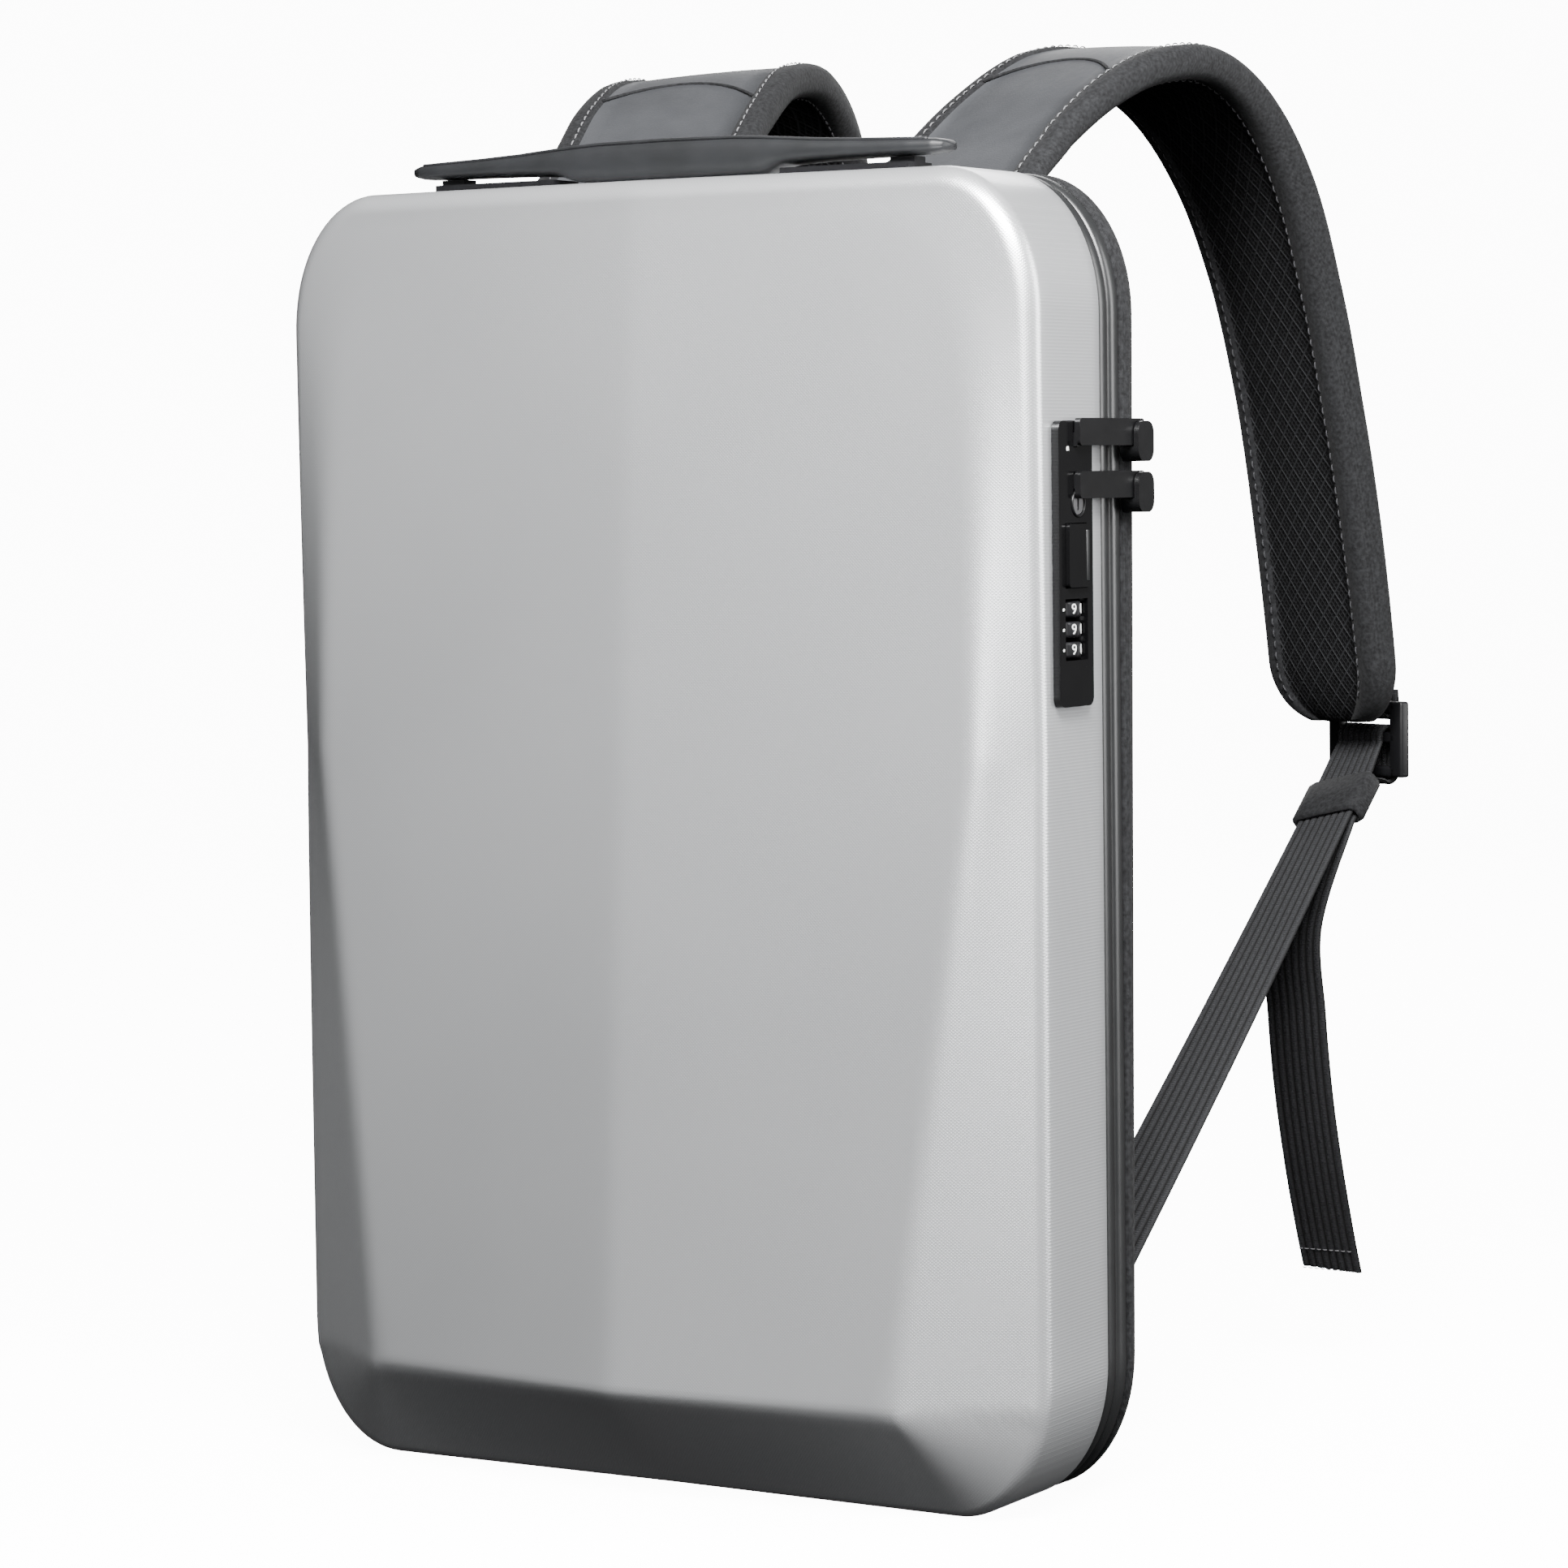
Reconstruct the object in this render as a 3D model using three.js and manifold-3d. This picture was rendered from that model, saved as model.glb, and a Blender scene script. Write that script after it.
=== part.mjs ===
// Hard shell laptop backpack: a hollow faceted front shell, two soft bands along the zip,
// a hollow fabric-covered back body with a padded panel, a carry handle, a side lock with
// three dials that holds both zip pulls, and two padded shoulder straps on adjusting webbing.
// Millimetres, +Z up, front towards -Y, lock on +X. The origin is on the flat base.
import * as THREE from 'three';
import { mergeVertices } from 'three/addons/utils/BufferGeometryUtils.js';
import Module from 'manifold-3d';

const wasm = await Module();
wasm.setup();

// Case outline
const HEIGHT = 430;
const WIDTH = 288;
const CORNER_ACROSS = 34;
const CORNER_UP = 46;
const CORNER_STEPS = 7;
const SIDE_STEPS = 6;
const TOP_STEPS = 4;

// Front shell
const BORDER_Y = -30;
const SHELL_DEPTH = 46;
const SHELL_WALL = 2.5;
const EDGE_ROUND = 7;
const EDGE_STEPS = 5;
const PANEL_HALF = 100;
const PANEL_FOOT_Z = 36;
const PANEL_CORNER_RISE = 20;
const PANEL_SIDE_TOP_Z = 373;
const RIDGE_FOOT_RISE = 30.5;
const RIDGE_HEAD_RISE = 5;

// Bands beside the zip, and the back body
const GAP = 0.3;
const BAND_DEPTH = 7;
const BAND_BULGE = 1.3;
const BAND_WALL = 4.5;
const BAND_STEPS = 4;
const BACK_Y_TOP = 45;
const BACK_Y_FOOT = 40;
const BACK_WALL = 3;
const BACK_ROUND = 8;

// Padded back panel
const PAD_HALF = 94;
const PAD_LOW_Z = 34;
const PAD_HIGH_Z = 386;
const PAD_THICK = 10;
const PAD_CORNER = 24;
const PAD_EDGE = 5;

// Carry handle and its two base plates
const HANDLE_HALF = 104;
const HANDLE_RISE = 14.6;
const HANDLE_WIDTH = 19;
const HANDLE_Y = -7;
const HANDLE_SIDES = 12;
const PLATE_IN = 44;
const PLATE_OUT = 92;
const PLATE_WIDTH = 15;
const PLATE_THICK = 2.4;
const POST_LENGTH = 9;
const POST_WIDTH = 7;

// Lock on the side wall
const LOCK_Y = -6.8;
const LOCK_Z = 304.5;
const LOCK_PLATE_WIDTH = 22.5;
const LOCK_PLATE_HEIGHT = 90;
const LOCK_PLATE_THICK = 2.5;
const LOCK_BODY_WIDTH = 19;
const LOCK_BODY_HEIGHT = 84;
const LOCK_BODY_DEPTH = 13;
const DIAL_COUNT = 3;
const DIAL_RADIUS = 7.2;
const DIAL_THICK = 5;
const DIAL_PITCH = 6.4;
const DIAL_PROUD = 0.6;
const DIAL_FROM_CENTRE = -20.7;
const DIAL_SIDES = 20;
const AXLE_RADIUS = 1.5;
const DIAL_BORE_CLEARANCE = 0.3;
const DIAL_ROOM = 0.8;
const BUTTON_WIDTH = 14;
const BUTTON_HEIGHT = 20;
const BUTTON_PROUD = 1.4;
const BUTTON_THICK = 3.4;
const BUTTON_TRAVEL = 1.6;
const BUTTON_FROM_CENTRE = 2.6;
const KEY_RADIUS = 3.5;
const KEY_LENGTH = 9;
const KEY_OFFSET_Y = 1.6;
const KEY_FROM_CENTRE = 19;
const KEYWAY_WIDTH = 1.1;
const KEYWAY_LENGTH = 4.4;
const KEYWAY_DEPTH = 2;

// Zip sliders and their pulls
const SLIDER_Y = 34;
const SLIDER_WIDTH = 11;
const SLIDER_HEIGHT = 13;
const SLIDER_WALL = 1.7;
const PULL_HEIGHT = 8.6;
const PULL_THICK = 2;
const PULL_FROM_LOCK = 10.2;
const PULL_HOOK_THICK = 2;
const PULL_HOOK_DEPTH = 4;
const PULL_HOOK_HEIGHT = 4.4;
const PULLS = [
  { name: 'upper', fromCentre: 41.5, sliderDrop: 3, hookDrop: 2.4 },
  { name: 'lower', fromCentre: 24.8, sliderDrop: 2.6, hookDrop: -1.1 },
];

// Shoulder straps: across is a share of half the case width, back of the strap's reach,
// up of the case height, wide of the strap width and thick of its thickness
const STRAP_WIDTH = 75;
const STRAP_THICK = 14;
const STRAP_REACH = 268;
const STRAP_STEPS = 40;
const STRAP_END_LENGTH = 22;
const STRAP_ROWS = [
  { across: 0.458, back: 0.168, up: 0.921, yaw: 0, roll: 0, wide: 0.94, thick: 0.4 },
  { across: 0.46, back: 0.172, up: 0.984, yaw: 0, roll: 0, wide: 0.96, thick: 0.5 },
  { across: 0.467, back: 0.287, up: 1.037, yaw: -12, roll: -2, wide: 0.99, thick: 0.64 },
  { across: 0.507, back: 0.388, up: 1.081, yaw: -15, roll: 0, wide: 1, thick: 0.75 },
  { across: 0.556, back: 0.5, up: 1.112, yaw: -16, roll: 3, wide: 1, thick: 0.82 },
  { across: 0.601, back: 0.627, up: 1.117, yaw: -19, roll: 4, wide: 0.99, thick: 0.88 },
  { across: 0.649, back: 0.743, up: 1.086, yaw: -24, roll: 4, wide: 0.96, thick: 0.94 },
  { across: 0.691, back: 0.836, up: 1.025, yaw: -27, roll: 3.5, wide: 0.93, thick: 1 },
  { across: 0.722, back: 0.903, up: 0.94, yaw: -30, roll: 2.5, wide: 0.91, thick: 1 },
  { across: 0.75, back: 0.948, up: 0.837, yaw: -30, roll: 1.5, wide: 0.88, thick: 1 },
  { across: 0.771, back: 0.981, up: 0.726, yaw: -28, roll: 1, wide: 0.86, thick: 1 },
  { across: 0.79, back: 1, up: 0.609, yaw: -25, roll: 0, wide: 0.82, thick: 0.95 },
  { across: 0.795, back: 1.004, up: 0.56, yaw: -25, roll: 0, wide: 0.8, thick: 0.86 },
];

// Webbing, buckle and keeper at the foot of each strap
const BELT_WIDTH = 25;
const BELT_THICK = 1.6;
const ANCHOR_X = 116;
const ANCHOR_Z = 52;
const ANCHOR_SIZE = 30;
const ANCHOR_THICK = 2;
const BUCKLE_WIDTH = 41;
const BUCKLE_HEIGHT = 28;
const BUCKLE_THICK = 4.4;
const BUCKLE_BAR = 4;
const BUCKLE_TOP_SLOT = 7.5;
const BUCKLE_LOW_SLOT = 5.4;
const BUCKLE_YAW = -25;
const BUCKLE_BEHIND = 9.4;
const BUCKLE_DROP = 21;
const KEEPER_LENGTH = 20;
const KEEPER_WALL = 1.6;
const KEEPER_SHARE = 0.9;
const KEEPER_ROOM = 1.2;
const TAB_LENGTH = 32;
const BELT_END = 12;
const TAUT_STEPS = 16;
const FREE_STEPS = 22;
const FREE_ROWS = [
  { across: 0.764, back: 0.855, up: 0.386 },
  { across: 0.757, back: 0.873, up: 0.314 },
  { across: 0.75, back: 0.9, up: 0.249 },
  { across: 0.747, back: 0.935, up: 0.181 },
  { across: 0.743, back: 0.978, up: 0.116 },
  { across: 0.743, back: 1, up: 0.084 },
];

// Colours
const SILVER = 0xb9bbc0;
const BLACK_PLASTIC = 0x101113;
const BLACK_FABRIC = 0x18191b;
const BLACK_MESH = 0x121316;
const GREY_LEATHER = 0x4d4f54;
const BLACK_WEBBING = 0x161719;
const METAL = 0x2a2b2e;

const HALF = WIDTH / 2;
const RIM_Y = BORDER_Y + SHELL_DEPTH;
const BAND_FRONT_Y = RIM_Y + GAP;
const BAND_REAR_Y = BAND_FRONT_Y + BAND_DEPTH + GAP;
const BODY_Y = BAND_REAR_Y + BAND_DEPTH + GAP;
const RIDGE_HEAD_Z = HEIGHT - EDGE_ROUND - 2;

const vec = (x, y, z) => new THREE.Vector3(x, y, z);
const lerp = THREE.MathUtils.lerp;
const clamp = THREE.MathUtils.clamp;
const radians = THREE.MathUtils.degToRad;

// A closed solid from a geometry: shared corners merged, empty faces dropped, faces outwards
function toSolid(geometry) {
  const bare = geometry.clone();
  bare.deleteAttribute('normal');
  bare.deleteAttribute('uv');
  const merged = mergeVertices(bare, 1e-4);
  const place = merged.attributes.position;
  const index = merged.index.array;
  const corners = [0, 1, 2].map(() => new THREE.Vector3());
  const faces = [];
  let volume = 0;
  for (let i = 0; i < index.length; i += 3) {
    const face = [index[i], index[i + 1], index[i + 2]];
    if (new Set(face).size < 3) continue;
    face.forEach((corner, k) => corners[k].fromBufferAttribute(place, corner));
    volume += corners[0].dot(corners[1].clone().cross(corners[2]));
    faces.push(face);
  }
  const outward = volume > 0 ? faces : faces.map(([a, b, c]) => [a, c, b]);
  return new wasm.Manifold(new wasm.Mesh({
    numProp: 3,
    vertProperties: new Float32Array(place.array),
    triVerts: new Uint32Array(outward.flat()),
  }));
}

function toGeometry(solid) {
  const mesh = solid.getMesh();
  const geometry = new THREE.BufferGeometry();
  const positions = new THREE.BufferAttribute(new Float32Array(mesh.vertProperties), 3);
  geometry.setAttribute('position', positions);
  geometry.setIndex(new THREE.BufferAttribute(new Uint32Array(mesh.triVerts), 1));
  geometry.computeVertexNormals();
  return geometry;
}

// A skin over rings of equal length; ends are capped with a fan, joined, or left as they meet
function loft(rings, { first = 'cap', last = 'cap' } = {}) {
  const count = rings[0].length;
  const points = rings.flat();
  const index = [];
  const strip = (a, b) => {
    for (let i = 0; i < count; i += 1) {
      const j = (i + 1) % count;
      if (i < count / 2) index.push(a + i, a + j, b + j, a + i, b + j, b + i);
      else index.push(a + i, a + j, b + i, a + j, b + j, b + i);
    }
  };
  for (let r = 0; r + 1 < rings.length; r += 1) strip(r * count, (r + 1) * count);
  if (first === 'joined') strip((rings.length - 1) * count, 0);
  const cap = (start, flip) => {
    const middle = new THREE.Vector3();
    for (let i = 0; i < count; i += 1) middle.addScaledVector(points[start + i], 1 / count);
    points.push(middle);
    for (let i = 0; i < count; i += 1) {
      const j = (i + 1) % count;
      index.push(points.length - 1, start + (flip ? j : i), start + (flip ? i : j));
    }
  };
  if (first === 'cap') cap(0, true);
  if (last === 'cap') cap((rings.length - 1) * count, false);
  const geometry = new THREE.BufferGeometry().setFromPoints(points);
  geometry.setIndex(index);
  return toSolid(geometry);
}

function box(low, high) {
  const geometry = new THREE.BoxGeometry(high.x - low.x, high.y - low.y, high.z - low.z);
  geometry.translate((low.x + high.x) / 2, (low.y + high.y) / 2, (low.z + high.z) / 2);
  return toSolid(geometry);
}

function cylinderAlongX(radius, lowX, highX, y, z, sides = 16) {
  const geometry = new THREE.CylinderGeometry(radius, radius, highX - lowX, sides);
  geometry.rotateZ(Math.PI / 2);
  geometry.translate((lowX + highX) / 2, y, z);
  return toSolid(geometry);
}

function cylinderAlongZ(radius, lowZ, highZ, x, y, sides) {
  const geometry = new THREE.CylinderGeometry(radius, radius, highZ - lowZ, sides);
  geometry.rotateX(Math.PI / 2);
  geometry.translate(x, y, (lowZ + highZ) / 2);
  return toSolid(geometry);
}

// A plate with rounded corners, its outline in Y and Z, from lowX to highX
function roundedPlate(width, height, corner, lowX, highX, y, z) {
  const shape = new THREE.Shape();
  const w = width / 2 - corner;
  const h = height / 2 - corner;
  shape.absarc(w, h, corner, 0, Math.PI / 2, false);
  shape.absarc(-w, h, corner, Math.PI / 2, Math.PI, false);
  shape.absarc(-w, -h, corner, Math.PI, Math.PI * 1.5, false);
  shape.absarc(w, -h, corner, Math.PI * 1.5, Math.PI * 2, false);
  const geometry = new THREE.ExtrudeGeometry(shape, {
    depth: highX - lowX, bevelEnabled: false, curveSegments: 5,
  });
  geometry.rotateX(Math.PI / 2);
  geometry.rotateZ(Math.PI / 2);
  geometry.translate(lowX, y, z);
  return toSolid(geometry);
}

// The case outline: each row gives an arc centre and the direction from it
function outlineRows() {
  const rows = [];
  const cx = HALF - CORNER_ACROSS;
  const low = CORNER_UP;
  const high = HEIGHT - CORNER_UP;
  const run = (steps, fromX, fromZ, toX, toZ, cos, sin) => {
    for (let k = 0; k < steps; k += 1) {
      rows.push({ cx: lerp(fromX, toX, k / steps), cz: lerp(fromZ, toZ, k / steps), cos, sin });
    }
  };
  const turn = (x, z, quarter) => {
    for (let k = 0; k < CORNER_STEPS; k += 1) {
      const angle = (quarter + k / CORNER_STEPS) * Math.PI / 2;
      rows.push({ cx: x, cz: z, cos: Math.cos(angle), sin: Math.sin(angle) });
    }
  };
  run(SIDE_STEPS, cx, low, cx, high, 1, 0);
  turn(cx, high, 0);
  run(TOP_STEPS, cx, high, -cx, high, 0, 1);
  turn(-cx, high, 1);
  run(SIDE_STEPS, -cx, high, -cx, low, -1, 0);
  turn(-cx, low, 2);
  run(TOP_STEPS, -cx, low, cx, low, 0, -1);
  turn(cx, low, 3);
  return rows;
}
const OUTLINE = outlineRows();

function outlinePoint(row, inset, y) {
  const x = row.cx + (CORNER_ACROSS - inset) * row.cos;
  const z = row.cz + (CORNER_UP - inset) * row.sin;
  return vec(x, y, z);
}

// How far the front panel stands out of the border plane at a place on the panel
function panelRise(x, z) {
  const share = clamp((z - PANEL_FOOT_Z) / (RIDGE_HEAD_Z - PANEL_FOOT_Z), 0, 1);
  const foot = lerp(RIDGE_FOOT_RISE, PANEL_CORNER_RISE, Math.abs(x) / PANEL_HALF);
  const head = RIDGE_HEAD_RISE * (1 - Math.abs(x) / HALF);
  return Math.max(0, lerp(foot, head, share));
}

// The point of the panel's edge that an outline row leads to
function panelEdge(row) {
  const side = Math.sign(row.cx + row.cos);
  if (row.sin < -1e-6) {
    const straight = Math.abs(row.cos) < 1e-6;
    const x = straight ? row.cx * PANEL_HALF / (HALF - CORNER_ACROSS) : side * PANEL_HALF;
    return vec(x, 0, PANEL_FOOT_Z);
  }
  if (row.sin > 1e-6) return outlinePoint(row, EDGE_ROUND + 2, 0);
  const share = (row.cz - PANEL_FOOT_Z) / (PANEL_SIDE_TOP_Z - PANEL_FOOT_Z);
  const x = Math.min(lerp(PANEL_HALF, HALF, share), HALF - EDGE_ROUND - 2);
  return vec(side * x, 0, row.cz);
}

// The faceted front, filled solid from the face back to the plane backY, inset by a wall
function frontForm(inset, backY) {
  const round = EDGE_ROUND - inset;
  const faceY = BORDER_Y + inset;
  const rings = [OUTLINE.map((row) => outlinePoint(row, inset, backY))];
  for (let step = 0; step <= EDGE_STEPS; step += 1) {
    const angle = step / EDGE_STEPS * Math.PI / 2;
    const inward = round * (1 - Math.cos(angle));
    const drop = round * (1 - Math.sin(angle));
    rings.push(OUTLINE.map((row) => {
      const start = outlinePoint(row, inset, 0);
      const end = panelEdge(row);
      const share = inward / start.distanceTo(end);
      const rise = panelRise(end.x, end.z) * share;
      return start.lerp(end, share).setY(faceY + drop - rise);
    }));
  }
  rings.push(OUTLINE.map((row) => {
    const end = panelEdge(row);
    return end.setY(faceY - panelRise(end.x, end.z));
  }));
  rings.push(OUTLINE.map((row) => vec(0, faceY - panelRise(0, row.cz), row.cz)));
  return loft(rings, { last: 'meet' });
}

function backPlaneY(z) {
  return lerp(BACK_Y_FOOT, BACK_Y_TOP, z / HEIGHT);
}

// The back body, filled solid from the plane frontY to its rounded, slightly sloping back
function backForm(inset, frontY) {
  const round = BACK_ROUND - inset;
  const rings = [OUTLINE.map((row) => outlinePoint(row, inset, frontY))];
  for (let step = 0; step <= EDGE_STEPS; step += 1) {
    const angle = step / EDGE_STEPS * Math.PI / 2;
    const inward = inset + round * (1 - Math.cos(angle));
    const drop = inset + round * (1 - Math.sin(angle));
    rings.push(OUTLINE.map((row) => {
      const point = outlinePoint(row, inward, 0);
      return point.setY(backPlaneY(point.z) - drop);
    }));
  }
  return loft(rings);
}

function shell() {
  const hollow = frontForm(SHELL_WALL, RIM_Y + 1);
  const lockHole = box(
    vec(HALF - EDGE_ROUND - SHELL_WALL, LOCK_Y - LOCK_BODY_WIDTH / 2 - GAP,
      LOCK_Z - LOCK_BODY_HEIGHT / 2 - GAP),
    vec(HALF + 1, LOCK_Y + LOCK_BODY_WIDTH / 2 + GAP, LOCK_Z + LOCK_BODY_HEIGHT / 2 + GAP),
  );
  return frontForm(0, RIM_Y).subtract(hollow).subtract(lockHole);
}

function backBody() {
  return backForm(0, BODY_Y).subtract(backForm(BACK_WALL, BODY_Y - 1));
}

// A soft band that follows the outline, with a rounded outer face
function band(startY) {
  const section = [{ inset: BAND_WALL, y: startY + BAND_DEPTH }, { inset: BAND_WALL, y: startY }];
  for (let step = 0; step <= BAND_STEPS; step += 1) {
    const angle = step / BAND_STEPS * Math.PI;
    section.push({
      inset: BAND_BULGE * (1 - Math.sin(angle)) + GAP,
      y: startY + BAND_DEPTH * (1 - Math.cos(angle)) / 2,
    });
  }
  const rings = section.map(({ inset, y }) => OUTLINE.map((row) => outlinePoint(row, inset, y)));
  return loft(rings, { first: 'joined', last: 'joined' });
}

// The padded panel: a rounded rectangle with softened edges, seated on the back body
function backPad() {
  const midZ = (PAD_LOW_Z + PAD_HIGH_Z) / 2;
  const halfHigh = (PAD_HIGH_Z - PAD_LOW_Z) / 2;
  const ring = (inset, offset) => {
    const points = [];
    for (let quarter = 0; quarter < 4; quarter += 1) {
      for (let step = 0; step <= 5; step += 1) {
        const angle = (quarter + step / 5) * Math.PI / 2;
        const sideX = quarter === 0 || quarter === 3 ? 1 : -1;
        const sideZ = quarter < 2 ? 1 : -1;
        const reach = PAD_CORNER - inset;
        const x = sideX * (PAD_HALF - PAD_CORNER) + reach * Math.cos(angle);
        const z = midZ + sideZ * (halfHigh - PAD_CORNER) + reach * Math.sin(angle);
        points.push(vec(x, backPlaneY(z) + GAP + offset, z));
      }
    }
    return points;
  };
  const edge = PAD_EDGE;
  return loft([
    ring(0, 0), ring(0, PAD_THICK - edge), ring(edge * 0.3, PAD_THICK - edge * 0.3),
    ring(edge, PAD_THICK),
  ]);
}

// Handle sections: at is a share of half its length, low and high of its rise, wide of its width
const HANDLE_ROWS = [
  { at: 0, low: 0.08, high: 1, wide: 1 },
  { at: 0.25, low: 0.08, high: 0.98, wide: 1 },
  { at: 0.35, low: 0.1, high: 0.94, wide: 0.98 },
  { at: 0.415, low: 0.26, high: 0.89, wide: 0.97 },
  { at: 0.56, low: 0.31, high: 0.8, wide: 0.93 },
  { at: 0.72, low: 0.33, high: 0.74, wide: 0.88 },
  { at: 0.88, low: 0.34, high: 0.7, wide: 0.84 },
  { at: 0.96, low: 0.36, high: 0.68, wide: 0.72 },
  { at: 0.99, low: 0.41, high: 0.63, wide: 0.5 },
  { at: 1, low: 0.48, high: 0.56, wide: 0.2 },
];

function handleLow(x) {
  const at = Math.abs(x) / HANDLE_HALF;
  const next = HANDLE_ROWS.findIndex((row) => row.at >= at);
  const [a, b] = [HANDLE_ROWS[next - 1], HANDLE_ROWS[next]];
  return HEIGHT + HANDLE_RISE * lerp(a.low, b.low, (at - a.at) / (b.at - a.at));
}

function handle() {
  const mirrored = HANDLE_ROWS.slice(1).reverse().map((row) => ({ ...row, at: -row.at }));
  const rings = [...mirrored, ...HANDLE_ROWS].map((row) => {
    const points = [];
    for (let k = 0; k < HANDLE_SIDES; k += 1) {
      const angle = k / HANDLE_SIDES * Math.PI * 2;
      const round = (value) => Math.sign(value) * Math.abs(value) ** 0.6;
      const z = (row.low + row.high) / 2 + (row.high - row.low) / 2 * round(Math.sin(angle));
      const y = HANDLE_WIDTH / 2 * row.wide * round(Math.cos(angle));
      points.push(vec(row.at * HANDLE_HALF, HANDLE_Y + y, HEIGHT + z * HANDLE_RISE));
    }
    return points;
  });
  return loft(rings);
}

// A base plate on top of the shell with the raised post that carries the handle's end
function handlePlate(side) {
  const postX = PLATE_OUT - POST_LENGTH;
  const postTop = Math.min(handleLow(postX), handleLow(PLATE_OUT)) - GAP;
  const plate = box(
    vec(PLATE_IN, HANDLE_Y - PLATE_WIDTH / 2, HEIGHT + GAP),
    vec(PLATE_OUT, HANDLE_Y + PLATE_WIDTH / 2, HEIGHT + GAP + PLATE_THICK),
  );
  const post = box(
    vec(postX, HANDLE_Y - POST_WIDTH / 2, HEIGHT + GAP),
    vec(PLATE_OUT, HANDLE_Y + POST_WIDTH / 2, postTop),
  );
  return mirrorTo(side, plate.add(post));
}

// The same solid on the other side of the middle plane
function mirrorTo(side, solid) {
  if (side > 0) return solid;
  return toSolid(toGeometry(solid).scale(-1, 1, 1));
}

const LOCK_FACE_X = HALF + GAP + LOCK_PLATE_THICK;
const DIAL_X = LOCK_FACE_X + DIAL_PROUD - DIAL_RADIUS;
const DIAL_MID_Z = LOCK_Z + DIAL_FROM_CENTRE;
const DIAL_HALF_STACK = (DIAL_COUNT - 1) / 2 * DIAL_PITCH + DIAL_THICK / 2 + DIAL_ROOM;
const PULL_X = LOCK_FACE_X + GAP;
const PULL_END_Y = LOCK_Y - LOCK_PLATE_WIDTH / 2 + PULL_FROM_LOCK;

function lockHousing() {
  const plate = roundedPlate(LOCK_PLATE_WIDTH, LOCK_PLATE_HEIGHT, 3, HALF + GAP, LOCK_FACE_X,
    LOCK_Y, LOCK_Z);
  const bodyX = HALF - LOCK_BODY_DEPTH;
  const body = box(
    vec(bodyX, LOCK_Y - LOCK_BODY_WIDTH / 2, LOCK_Z - LOCK_BODY_HEIGHT / 2),
    vec(HALF + GAP + 0.5, LOCK_Y + LOCK_BODY_WIDTH / 2, LOCK_Z + LOCK_BODY_HEIGHT / 2),
  );
  const outX = LOCK_FACE_X + 1;
  const dialPocket = box(
    vec(DIAL_X - DIAL_RADIUS - GAP, LOCK_Y - DIAL_RADIUS - GAP, DIAL_MID_Z - DIAL_HALF_STACK),
    vec(outX, LOCK_Y + DIAL_RADIUS + GAP, DIAL_MID_Z + DIAL_HALF_STACK),
  );
  const buttonZ = LOCK_Z + BUTTON_FROM_CENTRE;
  const buttonFloor = LOCK_FACE_X + BUTTON_PROUD - BUTTON_THICK - BUTTON_TRAVEL - GAP;
  const buttonPocket = box(
    vec(buttonFloor, LOCK_Y - BUTTON_WIDTH / 2 - GAP, buttonZ - BUTTON_HEIGHT / 2 - GAP),
    vec(outX, LOCK_Y + BUTTON_WIDTH / 2 + GAP, buttonZ + BUTTON_HEIGHT / 2 + GAP),
  );
  const keyHole = cylinderAlongX(KEY_RADIUS + GAP, LOCK_FACE_X - KEY_LENGTH - GAP, outX,
    LOCK_Y + KEY_OFFSET_Y, LOCK_Z + KEY_FROM_CENTRE, 24);
  let housing = plate.add(body).subtract(dialPocket).subtract(buttonPocket).subtract(keyHole);
  for (const pull of PULLS) {
    const z = LOCK_Z + pull.fromCentre - pull.hookDrop;
    const reach = PULL_HOOK_HEIGHT / 2 + GAP;
    housing = housing.subtract(box(
      vec(PULL_X - PULL_HOOK_DEPTH - GAP, PULL_END_Y - GAP, z - reach),
      vec(outX, PULL_END_Y + PULL_HOOK_THICK + GAP, z + reach),
    ));
  }
  return housing;
}

function dial(z) {
  const wheel = cylinderAlongZ(DIAL_RADIUS, z - DIAL_THICK / 2, z + DIAL_THICK / 2,
    DIAL_X, LOCK_Y, DIAL_SIDES);
  const bore = cylinderAlongZ(AXLE_RADIUS + DIAL_BORE_CLEARANCE, z - DIAL_THICK, z + DIAL_THICK,
    DIAL_X, LOCK_Y, 12);
  return wheel.subtract(bore);
}

function dialAxle() {
  return cylinderAlongZ(AXLE_RADIUS, DIAL_MID_Z - DIAL_HALF_STACK + GAP,
    DIAL_MID_Z + DIAL_HALF_STACK - GAP, DIAL_X, LOCK_Y, 12);
}

function releaseButton() {
  const z = LOCK_Z + BUTTON_FROM_CENTRE;
  const faceX = LOCK_FACE_X + BUTTON_PROUD;
  return roundedPlate(BUTTON_WIDTH, BUTTON_HEIGHT, 1.2, faceX - BUTTON_THICK, faceX, LOCK_Y, z);
}

function keyCylinder() {
  const y = LOCK_Y + KEY_OFFSET_Y;
  const z = LOCK_Z + KEY_FROM_CENTRE;
  const barrel = cylinderAlongX(KEY_RADIUS, LOCK_FACE_X - KEY_LENGTH, LOCK_FACE_X, y, z, 20);
  return barrel.subtract(box(
    vec(LOCK_FACE_X - KEYWAY_DEPTH, y - KEYWAY_WIDTH / 2, z - KEYWAY_LENGTH / 2),
    vec(LOCK_FACE_X + 1, y + KEYWAY_WIDTH / 2, z + KEYWAY_LENGTH / 2),
  ));
}

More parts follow.
